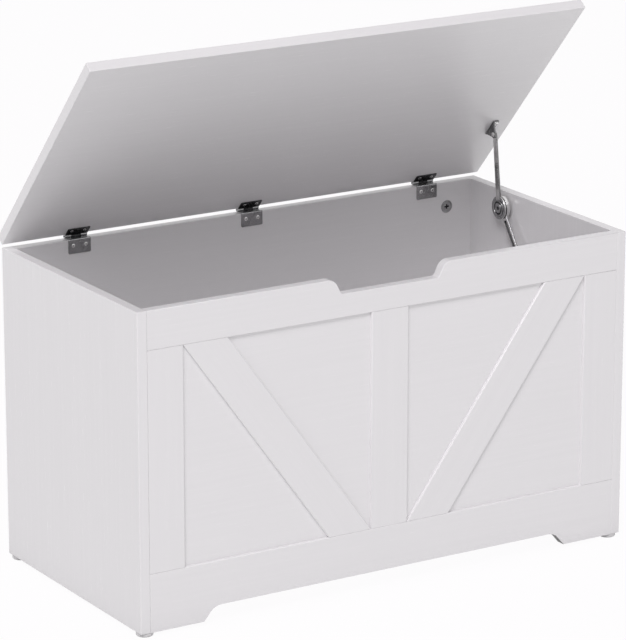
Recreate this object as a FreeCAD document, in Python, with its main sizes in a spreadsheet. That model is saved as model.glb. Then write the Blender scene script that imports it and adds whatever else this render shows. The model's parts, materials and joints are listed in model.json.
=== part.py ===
"""White storage trunk with a barn-door front, a hinged lid and a folding friction stay.

A flat-pack box of coated boards: two full-depth side panels hold the rear, front and bottom panels with
cams, bolts and dowels. Trim boards on the front panel make the rails, stiles and braces. The lid turns on
three wrap-over hinges, and a two-arm stay on the right side panel holds it open.

Axes: +X to the right, +Y to the rear, +Z up. The origin lies on the floor under the middle of the body.
The lid stands open at the stay's stop. All sizes are in millimetres and degrees, in the sheet named sizes.
"""
import FreeCAD
import Part
import Sketcher
import math
import os
import re

# Driving sizes: each has a name, a value and its meaning.
SIZE_TABLE = [
    ("body_width", 794.0, "outer face to outer face of the side panels"),
    ("body_depth", 386.0, "front of the trim to the rear face"),
    ("panel_height", 452.0, "side panel from its bottom edge to its top edge"),
    ("side_board", 15.0, "thickness of the side panels"),
    ("rear_board", 15.0, "thickness of the rear panel"),
    ("front_board", 11.0, "thickness of the front backing panel"),
    ("trim_board", 4.0, "thickness of the applied front trim"),
    ("bottom_board", 12.0, "thickness of the bottom panel"),
    ("bottom_rise", 32.0, "underside of the bottom panel above the side panels' bottom edge"),
    ("top_rail_height", 55.0, "height of the top rail"),
    ("bottom_rail_height", 84.0, "height of the bottom rail at its ends"),
    ("outer_stile_width", 55.0, "width of the left and right stiles"),
    ("centre_stile_width", 60.0, "width of the centre stile"),
    ("brace_cut", 69.0, "horizontal length of a brace's cut ends"),
    ("notch_top_width", 180.0, "hand notch, between its upper corners before rounding"),
    ("notch_bottom_width", 158.0, "hand notch, along its bottom"),
    ("notch_depth", 22.0, "hand notch, below the top edge"),
    ("notch_upper_round", 16.0, "radius of the hand notch's upper corners"),
    ("notch_lower_round", 5.0, "radius of the hand notch's lower corners"),
    ("arch_foot", 98.5, "foot of the front, from the outer face of the side panel"),
    ("arch_run", 17.0, "sloped end of the arch, before rounding"),
    ("arch_height", 20.0, "height of the arch under the front"),
    ("arch_round", 20.0, "radius of the arch's upper corners"),
    ("foot_height", 6.0, "glide foot under the side panel"),
    ("foot_radius", 12.0, "glide foot"),
    ("foot_round", 2.5, "rounded lower rim of a glide foot"),
    ("foot_inset", 12.5, "middle of a glide foot from the outer faces"),
    ("foot_recess", 2.4, "depth of the nail's recess in a glide foot"),
    ("nail_radius", 1.0, "shank of the nail in a glide foot"),
    ("nail_head_radius", 3.4, "head of the nail"),
    ("nail_head", 1.2, "thickness of the nail's head"),
    ("nail_grip", 14.0, "nail's length in the side panel"),
    ("cam_radius", 9.5, "eccentric cam"),
    ("cam_depth", 9.0, "depth of a cam in its panel"),
    ("cam_axis_depth", 5.4, "cam bolt below the cam's face"),
    ("cam_reach", 43.0, "middle of a cam from the side panel"),
    ("cam_drop", 37.5, "upper cams below the top edge"),
    ("cam_rise", 80.0, "lower cams above the side panels' bottom edge"),
    ("cam_depth_place", 105.0, "bottom panel's cams from the middle of the depth"),
    ("cam_slot_length", 11.0, "arms of the cross recess in a cam's face"),
    ("cam_slot_width", 2.2, "width of the cross recess"),
    ("cam_slot_depth", 1.6, "depth of the cross recess"),
    ("bolt_radius", 3.0, "cam bolt"),
    ("bolt_grip", 11.0, "cam bolt's length in the side panel"),
    ("dowel_radius", 3.0, "wooden dowel"),
    ("dowel_length", 30.0, "wooden dowel"),
    ("dowel_grip", 11.0, "dowel's length in the side panel"),
    ("dowel_height_place", 90.0, "dowels above and below the middle of the panel's height"),
    ("dowel_depth_place", 45.0, "bottom panel's dowels from the middle of the depth"),
    ("lid_depth", 400.0, "lid from its rear edge to its front edge"),
    ("lid_board", 15.0, "thickness of the lid"),
    ("lid_rear_round", 6.0, "rounded upper rear edge of the lid"),
    ("lid_overhang", 3.0, "lid past each side panel"),
    ("lid_gap", 2.8, "closed lid above the body's top edge"),
    ("lid_setback", 3.5, "lid's rear edge forward of the hinge axis"),
    ("lid_open_angle", 48.0, "degrees, lid at the stay's stop"),
    ("hinge_inset", 3.0, "hinge axis forward of the rear face"),
    ("hinge_rise", 3.3, "hinge axis above the body's top edge"),
    ("hinge_width", 35.5, "hinge leaves"),
    ("hinge_left_place", 114.5, "left hinge's middle from the left side panel's outer face"),
    ("hinge_right_place", 94.5, "right hinge's middle from the right side panel's outer face"),
    ("leaf_plate", 1.2, "thickness of the hinge leaves"),
    ("rear_leaf_drop", 20.0, "rear leaf below the body's top edge"),
    ("lid_leaf_depth", 15.0, "lid leaf along the lid"),
    ("barrel_radius", 3.0, "hinge knuckles"),
    ("lid_knuckle", 15.0, "length of the lid leaf's knuckle"),
    ("hinge_pin_radius", 1.2, "hinge pin"),
    ("hinge_pin_stub", 0.8, "hinge pin past each end of the knuckles"),
    ("hinge_screw_radius", 1.5, "shank of the hinge screws"),
    ("hinge_screw_head", 2.7, "countersunk head's radius of the hinge screws"),
    ("hinge_screw_grip", 10.0, "hinge screw's length in its board"),
    ("hinge_screw_spacing", 20.0, "between the two screws of a leaf"),
    ("rear_screw_drop", 8.5, "rear leaf's screws below the body's top edge"),
    ("lid_screw_inset", 8.5, "lid leaf's screws from the lid's rear edge"),
    ("stay_lid_reach", 124.0, "stay's lid pivot along the lid from the hinge axis"),
    ("stay_lid_drop", 14.0, "stay's lid pivot below the hinge axis, with the lid closed"),
    ("stay_elbow_inset", 109.0, "stay's knuckle forward of the rear face, with the lid open"),
    ("stay_elbow_drop", 23.0, "stay's knuckle below the body's top edge, with the lid open"),
    ("stay_lower_length", 112.45, "lower arm between its pivots"),
    ("stay_lower_tilt", 35.0, "degrees, lower arm forward of straight down, with the lid open"),
    ("stay_slot_travel", 19.0, "base pin's travel in the slot of the base bracket"),
    ("stay_slot_tilt", 28.74, "degrees, slot of the base bracket, down towards the front"),
    ("stay_arm_plate", 2.5, "thickness of the stay's arms"),
    ("stay_lower_half", 6.5, "half width of the lower arm"),
    ("stay_groove_half", 3.2, "half width of the groove pressed along the lower arm"),
    ("stay_groove_depth", 1.5, "depth of that groove"),
    ("stay_groove_start", 21.0, "groove from the middle of the knuckle"),
    ("stay_groove_end", 16.0, "groove short of the base pivot"),
    ("stay_upper_half", 5.3, "half width of the upper arm at the knuckle"),
    ("stay_tip_half", 4.2, "half width of the upper arm at the lid"),
    ("stay_ear_half", 5.5, "half width of the lid bracket's ear at the pivot"),
    ("stay_arm_gap", 0.5, "lower arm clear of the base bracket"),
    ("stay_knuckle_radius", 17.5, "round friction knuckle"),
    ("stay_knuckle_gap", 3.0, "knuckle clear of the side panel"),
    ("stay_washer", 1.0, "thickness of the friction washer"),
    ("stay_washer_radius", 15.0, "friction washer"),
    ("stay_cap", 1.2, "thickness of the knuckle's cap"),
    ("stay_cap_radius", 12.5, "knuckle's cap"),
    ("stay_ring_outer", 10.0, "ring groove in the cap, outer radius"),
    ("stay_ring_inner", 7.6, "ring groove in the cap, inner radius"),
    ("stay_ring_depth", 0.6, "depth of the ring groove and of the socket in the cap"),
    ("stay_socket_radius", 3.0, "socket in the middle of the cap"),
    ("stay_elbow_pin_radius", 3.0, "pin through the knuckle"),
    ("stay_pin_radius", 2.0, "pins at the stay's base and lid pivots"),
    ("stay_pin_head_radius", 3.6, "heads of those pins"),
    ("stay_pin_head", 1.2, "thickness of those heads"),
    ("stay_bracket_plate", 2.0, "thickness of the base and lid brackets"),
    ("stay_bracket_height", 7.5, "base bracket from the side panel"),
    ("stay_bracket_width", 20.0, "base bracket across its slot"),
    ("stay_bracket_flange", 13.0, "each screw flange of the base bracket"),
    ("stay_lid_base", 32.0, "lid bracket along the lid"),
    ("stay_lid_flange", 8.0, "lid bracket's flange across the lid"),
    ("stay_screw_radius", 1.7, "shank of the stay's screws"),
    ("stay_screw_head_radius", 3.4, "head of the stay's screws"),
    ("stay_screw_head", 1.6, "thickness of the screw heads"),
    ("stay_screw_grip", 10.0, "stay screw's length in its board"),
    ("stay_screw_inset", 5.5, "lid bracket's screws from its ends"),
    ("fit_gap", 0.03, "radial clearance of fixed pins, screws, cams and dowels"),
    ("running_gap", 0.06, "radial clearance of turning pins"),
    ("moving_gap", 0.3, "between faces that move past each other"),
    ("overrun", 1.0, "length by which through cuts pass their face"),
]
SIZES = {name: value for name, value, meaning in SIZE_TABLE}

# Places worked out from the sizes, written as formulas.
PLACES = {
    "half_width": "body_width / 2",
    "half_depth": "body_depth / 2",
    "top_level": "foot_height + panel_height",
    "mid_level": "foot_height + panel_height / 2",
    "wall": "half_width - side_board",
    "rear_inner": "half_depth - rear_board",
    "trim_back": "half_depth - trim_board",
    "front_inner": "half_depth - trim_board - front_board",
    "bottom_level": "foot_height + bottom_rise",
    "rail_low": "foot_height + bottom_rail_height",
    "rail_high": "top_level - top_rail_height",
    "stile_edge": "wall - outer_stile_width",
    "centre_edge": "centre_stile_width / 2",
    "arch_end": "half_width - arch_foot",
    "foot_x": "half_width - foot_inset",
    "foot_y": "half_depth - foot_inset",
    "cam_x": "wall - cam_reach",
    "cam_high": "top_level - cam_drop",
    "cam_low": "foot_height + cam_rise",
    "rear_bolt_y": "rear_inner + cam_axis_depth",
    "front_bolt_y": "-front_inner - cam_axis_depth",
    "bottom_bolt_z": "bottom_level + cam_axis_depth",
    "hinge_y": "half_depth - hinge_inset",
    "hinge_z": "top_level + hinge_rise",
    "hinge_left": "hinge_left_place - half_width",
    "hinge_right": "half_width - hinge_right_place",
    "lid_half_width": "half_width + lid_overhang",
    "lid_under": "lid_gap - hinge_rise",
    "rear_wrap": "rear_board - hinge_inset",
    "knuckle_half": "lid_knuckle / 2",
    "tongue": "(barrel_radius + hinge_pin_radius) / 2",
    "elbow_y": "half_depth - stay_elbow_inset",
    "elbow_z": "top_level - stay_elbow_drop",
    "lid_pivot_y": "hinge_y - stay_lid_reach * cos(lid_open_angle) - stay_lid_drop * sin(lid_open_angle)",
    "lid_pivot_z": "hinge_z + stay_lid_reach * sin(lid_open_angle) - stay_lid_drop * cos(lid_open_angle)",
    "upper_length": "sqrt((lid_pivot_y - elbow_y) ^ 2 + (lid_pivot_z - elbow_z) ^ 2)",
    "upper_tilt": "atan((lid_pivot_y - elbow_y) / (lid_pivot_z - elbow_z))",
    "base_y": "elbow_y - stay_lower_length * sin(stay_lower_tilt)",
    "base_z": "elbow_z - stay_lower_length * cos(stay_lower_tilt)",
    "lower_near": "stay_bracket_height + stay_arm_gap",
    "lower_far": "lower_near + stay_arm_plate",
    "washer_far": "lower_far + stay_washer",
    "upper_near": "washer_far + moving_gap",
    "upper_far": "upper_near + stay_arm_plate",
    "cap_far": "upper_far + stay_cap",
    "ear_near": "upper_far + moving_gap",
    "ear_far": "ear_near + stay_bracket_plate",
    "cavity_end": "stay_pin_head_radius + moving_gap",
    "bridge_end": "cavity_end + stay_bracket_plate",
    "bracket_end": "bridge_end + stay_bracket_flange",
    "bracket_screw": "bridge_end + stay_bracket_flange / 2",
    "lid_screw_place": "stay_lid_base / 2 - stay_screw_inset",
    "lid_screw_off": "ear_near - stay_lid_flange / 2",
}

LEFT = "-1"
RIGHT = "1"
X_AXIS = FreeCAD.Vector(1, 0, 0)
Y_AXIS = FreeCAD.Vector(0, 1, 0)
Z_AXIS = FreeCAD.Vector(0, 0, 1)
QUARTER_TURN = 90
HALF_TURN = 180
WORD = re.compile(r"[a-z_]+")

doc = FreeCAD.newDocument("storage_trunk")
sheet = doc.addObject("Spreadsheet::Sheet", "sizes")
pieces = []


def fill_sheet():
    """Writes the driving sizes into the sheet, one row each, with the size's name as the cell's alias."""
    for row, (name, value, meaning) in enumerate(SIZE_TABLE, start=1):
        sheet.set(f"A{row}", name)
        sheet.set(f"B{row}", str(value))
        sheet.setAlias(f"B{row}", name)
        sheet.set(f"C{row}", meaning)
    doc.recompute()


def formula(text):
    """Turns a formula in size and place names into one that the document can work out."""
    def expand(match):
        word = match.group(0)
        if word in PLACES:
            return f"({formula(PLACES[word])})"
        return f"sizes.{word}" if word in SIZES else word
    return WORD.sub(expand, text)


def bind(thing, **formulas):
    """Binds properties to formulas. A double underscore in a keyword stands for a dot in the path."""
    for path, text in formulas.items():
        thing.setExpression(path.replace("__", "."), formula(text))


def put(thing, x="0", y="0", z="0", axis=None, angle=None, turn=QUARTER_TURN):
    """Binds a thing's place, and turns it by a fixed angle or by one that a formula gives."""
    if axis is not None:
        thing.Placement = FreeCAD.Placement(FreeCAD.Vector(), FreeCAD.Rotation(axis, turn))
    bind(thing, Placement__Base__x=x, Placement__Base__y=y, Placement__Base__z=z)
    if angle is not None:
        bind(thing, Placement__Rotation__Angle=angle)


def put_on_lid(thing, x="0"):
    """Places a thing that is drawn about the hinge axis, as with the lid closed, on the open lid."""
    put(thing, x, "hinge_y", "hinge_z", -X_AXIS, "lid_open_angle")


def keep(thing, label):
    """Names a finished piece, whose label also names its file."""
    thing.Label = label
    pieces.append(thing)
    return thing


def new_body(name):
    """Starts a piece that is built from sketches."""
    return doc.addObject("PartDesign::Body", name)


def sketch_on(body, plane, level):
    """Adds a sketch on one of the body's own planes, moved along the plane's normal to a level."""
    sketch = body.newObject("Sketcher::SketchObject", f"{body.Name}_sketch")
    origin_plane = next(item for item in body.Origin.OriginFeatures if item.Role == plane)
    sketch.AttachmentSupport = [(origin_plane, "")]
    sketch.MapMode = "FlatFace"
    bind(sketch, AttachmentOffset__Base__z=level)
    return sketch


def pin_down(sketch, kind, formulas, *where, value=0.0):
    """Adds one dimension to a sketch and binds it to a formula."""
    index = sketch.addConstraint(Sketcher.Constraint(kind, *where, value))
    name = f"size_{index}"
    sketch.renameConstraint(index, name)
    sketch.setExpression(f"Constraints.{name}", formula(formulas))


def draw_outline(sketch, corners):
    """Draws a closed outline of straight lines, each corner held by its own formulas."""
    count = len(corners)
    turns = [math.tau * i / count for i in range(count)]
    start = [FreeCAD.Vector(math.cos(turn), math.sin(turn), 0) for turn in turns]
    for i in range(count):
        sketch.addGeometry(Part.LineSegment(start[i], start[(i + 1) % count]), False)
    for i in range(count):
        sketch.addConstraint(Sketcher.Constraint("Coincident", i, 2, (i + 1) % count, 1))
    for i, (across, upward) in enumerate(corners):
        pin_down(sketch, "DistanceX", across, -1, 1, i, 1, value=start[i].x)
        pin_down(sketch, "DistanceY", upward, -1, 1, i, 1, value=start[i].y)


def draw_circles(sketch, circles):
    """Draws circles, each with formulas for its middle and its radius."""
    for across, upward, radius in circles:
        item = sketch.addGeometry(Part.Circle(FreeCAD.Vector(), Z_AXIS, 1.0), False)
        pin_down(sketch, "DistanceX", across, -1, 1, item, 3)
        pin_down(sketch, "DistanceY", upward, -1, 1, item, 3)
        pin_down(sketch, "Radius", radius, item, value=1.0)


def rectangle(left, right, low, high):
    """Corners of a rectangle."""
    return [(left, low), (right, low), (right, high), (left, high)]


def pad(body, plane, level, thickness, outline=None, circles=()):
    """Adds material from a level along the plane's normal."""
    sketch = sketch_on(body, plane, level)
    if outline:
        draw_outline(sketch, outline)
    draw_circles(sketch, circles)
    feature = body.newObject("PartDesign::Pad", f"{body.Name}_pad")
    feature.Profile = sketch
    bind(feature, Length=thickness)
    doc.recompute()
    return feature


def pocket(body, plane, level, depth, outline=None, circles=(), along=False):
    """Cuts from a level against the plane's normal, or along it, and makes sure that something was cut."""
    before = body.Shape.Volume
    sketch = sketch_on(body, plane, level)
    if outline:
        draw_outline(sketch, outline)
    draw_circles(sketch, circles)
    feature = body.newObject("PartDesign::Pocket", f"{body.Name}_pocket")
    feature.Profile = sketch
    feature.Reversed = along
    bind(feature, Length=depth)
    doc.recompute()
    if not body.Shape.Volume < before:
        raise RuntimeError(f"{feature.Name} cuts nothing")


def round_edges(body, radius, chosen):
    """Rounds the edges of a body's last feature that the chosen test picks by their two ends."""
    base = body.Tip
    names = []
    for number, edge in enumerate(base.Shape.Edges, start=1):
        ends = [vertex.Point for vertex in edge.Vertexes]
        if chosen(ends[0], ends[-1]):
            names.append(f"Edge{number}")
    feature = body.newObject("PartDesign::Fillet", f"{body.Name}_round")
    feature.Base = (base, names)
    bind(feature, Radius=radius)
    doc.recompute()


def cylinder(name, radius, height):
    """A plain cylinder along +Z."""
    item = doc.addObject("Part::Cylinder", name)
    bind(item, Radius=radius, Height=height)
    return item


def rod(name, radius, start, end, y="0", z="0"):
    """A cylinder along X between two places."""
    item = cylinder(name, radius, f"({end}) - ({start})")
    put(item, start, y, z, Y_AXIS)
    return item


def fuse(name, items):
    """Joins touching shapes into one solid."""
    item = doc.addObject("Part::MultiFuse", name)
    item.Shapes = items
    return item


def group(name, items):
    """Keeps like pieces together as separate solids."""
    item = doc.addObject("Part::Compound", name)
    item.Links = items
    return item


# Bolts, dowels and nails: where they go in the side panels, as depth and height.
BOLTS = [
    ("rear_bolt_y", "cam_high"),
    ("rear_bolt_y", "cam_low"),
    ("front_bolt_y", "cam_high"),
    ("front_bolt_y", "cam_low"),
    ("cam_depth_place", "bottom_bolt_z"),
    ("-cam_depth_place", "bottom_bolt_z"),
]
DOWELS = [
    ("rear_bolt_y", "mid_level + dowel_height_place"),
    ("rear_bolt_y", "mid_level - dowel_height_place"),
    ("front_bolt_y", "mid_level + dowel_height_place"),
    ("front_bolt_y", "mid_level - dowel_height_place"),
    ("dowel_depth_place", "bottom_bolt_z"),
    ("-dowel_depth_place", "bottom_bolt_z"),
]
SIDES = [("left", LEFT), ("right", RIGHT)]
HINGES = [("left", "hinge_left"), ("centre", "0"), ("right", "hinge_right")]
LEAF_SCREWS = ["-hinge_screw_spacing / 2", "hinge_screw_spacing / 2"]
BASE_SCREWS = ["bracket_screw", "-stay_slot_travel - bracket_screw"]
LID_SCREWS = ["-stay_lid_reach + lid_screw_place", "-stay_lid_reach - lid_screw_place"]
UPRIGHT_CAMS = [("-cam_x", "cam_high"), ("-cam_x", "cam_low"), ("cam_x", "cam_high"), ("cam_x", "cam_low")]
LYING_CAMS = [
    ("-cam_x", "cam_depth_place"),
    ("-cam_x", "-cam_depth_place"),
    ("cam_x", "cam_depth_place"),
    ("cam_x", "-cam_depth_place"),
]


def drill_edges(body, bolts, dowels):
    """Bores both ends of a panel between the side panels for its cam bolts and dowels."""
    for sign in (LEFT, RIGHT):
        end = f"{sign} * wall"
        inward = sign == LEFT
        holes = [(y, z, "bolt_radius + fit_gap") for y, z in bolts]
        pocket(body, "YZ_Plane", end, "cam_reach", circles=holes, along=inward)
        holes = [(y, z, "dowel_radius + fit_gap") for y, z in dowels]
        pocket(body, "YZ_Plane", end, "dowel_length - dowel_grip", circles=holes, along=inward)


def side_panel(side, sign):
    """Full-depth side board, bored inside for bolts and dowels and below for the feet's nails."""
    body = new_body(f"{side}_side_panel")
    outer = "-half_width" if sign == LEFT else "wall"
    outline = rectangle("-half_depth", "half_depth", "foot_height", "top_level")
    pad(body, "YZ_Plane", outer, "side_board", outline)
    outward = sign == RIGHT
    inner = f"{sign} * wall"
    holes = [(y, z, "bolt_radius + fit_gap") for y, z in BOLTS]
    pocket(body, "YZ_Plane", inner, "bolt_grip", circles=holes, along=outward)
    holes = [(y, z, "dowel_radius + fit_gap") for y, z in DOWELS]
    pocket(body, "YZ_Plane", inner, "dowel_grip", circles=holes, along=outward)
    holes = [(f"{sign} * foot_x", y, "nail_radius + fit_gap") for y in ("foot_y", "-foot_y")]
    pocket(body, "XY_Plane", "foot_height", "nail_grip", circles=holes, along=True)
    if sign == RIGHT:
        holes = []
        for along in BASE_SCREWS:
            y = f"base_y + ({along}) * cos(stay_slot_tilt)"
            z = f"base_z + ({along}) * sin(stay_slot_tilt)"
            holes.append((y, z, "stay_screw_radius + fit_gap"))
        pocket(body, "YZ_Plane", "wall", "stay_screw_grip", circles=holes, along=True)
    keep(body, f"{side}_side_panel")


def rear_panel():
    """Board between the side panels that carries the hinges."""
    body = new_body("rear_panel")
    outline = rectangle("-wall", "wall", "foot_height", "top_level")
    pad(body, "XZ_Plane", "-half_depth", "rear_board", outline)
    cams = [(x, z, "cam_radius + fit_gap") for x, z in UPRIGHT_CAMS]
    pocket(body, "XZ_Plane", "-rear_inner", "cam_depth", circles=cams)
    drill_edges(body, BOLTS[0:2], DOWELS[0:2])
    holes = []
    for side, x in HINGES:
        for across in LEAF_SCREWS:
            place = (f"{x} + ({across})", "top_level - rear_screw_drop")
            holes.append((*place, "hinge_screw_radius + fit_gap"))
    pocket(body, "XZ_Plane", "-rear_inner", "hinge_screw_grip", circles=holes)
    keep(body, "rear_panel")


def notch_corners():
    """The hand notch in a top edge, from right to left."""
    return [
        ("notch_top_width / 2", "top_level"),
        ("notch_bottom_width / 2", "top_level - notch_depth"),
        ("-notch_bottom_width / 2", "top_level - notch_depth"),
        ("-notch_top_width / 2", "top_level"),
    ]


def round_notch(body):
    """Rounds the hand notch's corners: wide at the top edge, tight at the bottom."""
    top = sheet.foot_height + sheet.panel_height

    def across_board(a, b, level):
        within = abs(a.x) < sheet.notch_top_width
        return within and max(abs(a.x - b.x), abs(a.z - level), abs(b.z - level)) < sheet.fit_gap

    round_edges(body, "notch_lower_round", lambda a, b: across_board(a, b, top - sheet.notch_depth))
    round_edges(body, "notch_upper_round", lambda a, b: across_board(a, b, top))


def arch_corners():
    """The arch in a bottom edge, from left to right."""
    top = "foot_height + arch_height"
    return [
        ("-arch_end", "foot_height"), ("-arch_end + arch_run", top),
        ("arch_end - arch_run", top), ("arch_end", "foot_height"),
    ]


def round_arch(body):
    """Rounds the arch's upper corners."""
    level = sheet.foot_height + sheet.arch_height

    def across_board(a, b):
        return max(abs(a.z - level), abs(b.z - level), abs(a.x - b.x)) < sheet.fit_gap

    round_edges(body, "arch_round", across_board)


def front_panel():
    """Backing board of the front, with the hand notch in its top edge and the arch in its bottom edge."""
    body = new_body("front_panel")
    outline = [
        ("-wall", "foot_height"), *arch_corners(), ("wall", "foot_height"),
        ("wall", "top_level"), *notch_corners(), ("-wall", "top_level"),
    ]
    pad(body, "XZ_Plane", "front_inner", "front_board", outline)
    round_notch(body)
    round_arch(body)
    cams = [(x, z, "cam_radius + fit_gap") for x, z in UPRIGHT_CAMS]
    pocket(body, "XZ_Plane", "front_inner", "cam_depth", circles=cams, along=True)
    drill_edges(body, BOLTS[2:4], DOWELS[2:4])
    keep(body, "front_panel")


def bottom_panel():
    """Floor of the trunk, between the four upright panels."""
    body = new_body("bottom_panel")
    outline = rectangle("-wall", "wall", "-front_inner", "rear_inner")
    pad(body, "XY_Plane", "bottom_level", "bottom_board", outline)
    cams = [(x, y, "cam_radius + fit_gap") for x, y in LYING_CAMS]
    pocket(body, "XY_Plane", "bottom_level", "cam_depth", circles=cams, along=True)
    drill_edges(body, BOLTS[4:6], DOWELS[4:6])
    keep(body, "bottom_panel")


def trim_piece(name, outline):
    """A trim board applied to the front panel."""
    body = new_body(name)
    pad(body, "XZ_Plane", "trim_back", "trim_board", outline)
    return keep(body, name)


def front_trim():
    """Rails, stiles and the two braces that form a V."""
    top = trim_piece("top_rail", [
        ("-wall", "rail_high"), ("wall", "rail_high"), ("wall", "top_level"),
        *notch_corners(), ("-wall", "top_level"),
    ])
    round_notch(top)
    bottom = trim_piece("bottom_rail", [
        ("-wall", "foot_height"), *arch_corners(), ("wall", "foot_height"),
        ("wall", "rail_low"), ("-wall", "rail_low"),
    ])
    round_arch(bottom)
    trim_piece("left_stile", rectangle("-wall", "-stile_edge", "rail_low", "rail_high"))
    trim_piece("centre_stile", rectangle("-centre_edge", "centre_edge", "rail_low", "rail_high"))
    trim_piece("right_stile", rectangle("stile_edge", "wall", "rail_low", "rail_high"))
    for side, sign in SIDES:
        trim_piece(f"{side}_brace", [
            (f"{sign} * centre_edge", "rail_low"),
            (f"{sign} * (centre_edge + brace_cut)", "rail_low"),
            (f"{sign} * stile_edge", "rail_high"),
            (f"{sign} * (stile_edge - brace_cut)", "rail_high"),
        ])


def lid_panel():
    """Flat lid, rounded along its upper rear edge and bored for the screws of the hinges and of the stay."""
    body = new_body("lid_panel")
    outline = rectangle("-lid_half_width", "lid_half_width", "-lid_setback - lid_depth", "-lid_setback")
    pad(body, "XY_Plane", "lid_under", "lid_board", outline)
    top = sheet.lid_gap - sheet.hinge_rise + sheet.lid_board

    def upper_rear(a, b):
        level = max(abs(a.z - top), abs(b.z - top))
        return max(level, abs(a.y + sheet.lid_setback), abs(b.y + sheet.lid_setback)) < sheet.fit_gap

    round_edges(body, "lid_rear_round", upper_rear)
    holes = []
    for side, x in HINGES:
        for across in LEAF_SCREWS:
            place = (f"{x} + ({across})", "-lid_setback - lid_screw_inset")
            holes.append((*place, "hinge_screw_radius + fit_gap"))
    pocket(body, "XY_Plane", "lid_under", "hinge_screw_grip", circles=holes, along=True)
    holes = [("wall - lid_screw_off", y, "stay_screw_radius + fit_gap") for y in LID_SCREWS]
    pocket(body, "XY_Plane", "lid_under", "stay_screw_grip", circles=holes, along=True)
    put_on_lid(body)
    keep(body, "lid_panel")


def countersink(body, name, x, y, z, axis=None):
    """Cuts a countersunk screw's cone through a hinge leaf, from its outer face inwards."""
    cone = body.newObject("PartDesign::SubtractiveCone", name)
    bind(cone, Radius1="hinge_screw_head + fit_gap", Radius2="hinge_screw_radius + fit_gap")
    bind(cone, Height="leaf_plate")
    put(cone, x, y, z, axis)
    doc.recompute()


def rear_leaf(name, x):
    """Hinge leaf on the rear panel's inner face, bent back over the panel's top edge to two knuckles."""
    body = new_body(name)
    face = "-rear_wrap - leaf_plate"
    outline = [
        ("0", "-hinge_rise"), ("-rear_wrap", "-hinge_rise"),
        ("-rear_wrap", "-hinge_rise - rear_leaf_drop"), (face, "-hinge_rise - rear_leaf_drop"),
        (face, "-hinge_rise + leaf_plate"), ("0", "-hinge_rise + leaf_plate"),
    ]
    pad(body, "YZ_Plane", "-hinge_width / 2", "hinge_width", outline)
    pad(body, "YZ_Plane", "-hinge_width / 2", "hinge_width", circles=[("0", "0", "barrel_radius")])
    half = "knuckle_half + moving_gap"
    gap = rectangle(f"-({half})", half, "-barrel_radius - moving_gap", "barrel_radius")
    pocket(body, "XY_Plane", "barrel_radius", "barrel_radius + hinge_rise", gap)
    bore = [("0", "0", "hinge_pin_radius + fit_gap")]
    pocket(body, "YZ_Plane", "hinge_width / 2", "hinge_width", circles=bore)
    for number, across in enumerate(LEAF_SCREWS):
        low = "-hinge_rise - rear_screw_drop"
        countersink(body, f"{name}_sink_{number}", across, face, low, -X_AXIS)
    put(body, x, "hinge_y", "hinge_z")
    keep(body, name)


def lid_leaf(name, x):
    """Hinge leaf on the lid's underside, with a tongue to one knuckle."""
    body = new_body(name)
    low = "lid_under - leaf_plate"
    front = "-lid_setback - lid_leaf_depth"
    plate = [
        ("-hinge_width / 2", front), ("hinge_width / 2", front), ("hinge_width / 2", "-lid_setback"),
        ("knuckle_half", "-lid_setback"), ("knuckle_half", "-tongue"), ("-knuckle_half", "-tongue"),
        ("-knuckle_half", "-lid_setback"), ("-hinge_width / 2", "-lid_setback"),
    ]
    pad(body, "XY_Plane", low, "leaf_plate", plate)
    pad(body, "YZ_Plane", "-knuckle_half", "lid_knuckle", circles=[("0", "0", "barrel_radius")])
    bore = [("0", "0", "hinge_pin_radius + running_gap")]
    pocket(body, "YZ_Plane", "knuckle_half", "lid_knuckle", circles=bore)
    for number, across in enumerate(LEAF_SCREWS):
        place = "-lid_setback - lid_screw_inset"
        countersink(body, f"{name}_sink_{number}", across, place, low)
    put_on_lid(body, x)
    keep(body, name)


def hinge_screw(name):
    """Countersunk screw along +Z, with its head's face at the start."""
    head = doc.addObject("Part::Cone", f"{name}_head")
    bind(head, Radius1="hinge_screw_head", Radius2="hinge_screw_radius", Height="leaf_plate")
    shank = cylinder(f"{name}_shank", "hinge_screw_radius", "hinge_screw_grip - fit_gap")
    put(shank, z="leaf_plate")
    return fuse(name, [head, shank])


def hinges():
    """Three hinges with their pins and screws."""
    rear_screws = []
    lid_screws = []
    for side, x in HINGES:
        rear_leaf(f"{side}_hinge_rear_leaf", x)
        lid_leaf(f"{side}_hinge_lid_leaf", x)
        end = "hinge_width / 2 + hinge_pin_stub"
        name = f"{side}_hinge_pin"
        pin = rod(name, "hinge_pin_radius", f"{x} - ({end})", f"{x} + {end}", "hinge_y", "hinge_z")
        keep(pin, name)
        for number, across in enumerate(LEAF_SCREWS):
            middle = f"{x} + ({across})"
            screw = hinge_screw(f"{side}_rear_screw_{number}")
            put(screw, middle, "rear_inner - leaf_plate", "top_level - rear_screw_drop", -X_AXIS)
            rear_screws.append(screw)
            screw = hinge_screw(f"{side}_lid_screw_{number}")
            put(screw, middle, "-lid_setback - lid_screw_inset", "lid_under - leaf_plate")
            lid_screws.append(screw)
    keep(group("hinge_screws_rear", rear_screws), "hinge_screws_rear")
    lid_group = group("hinge_screws_lid", lid_screws)
    put_on_lid(lid_group)
    keep(lid_group, "hinge_screws_lid")


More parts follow.
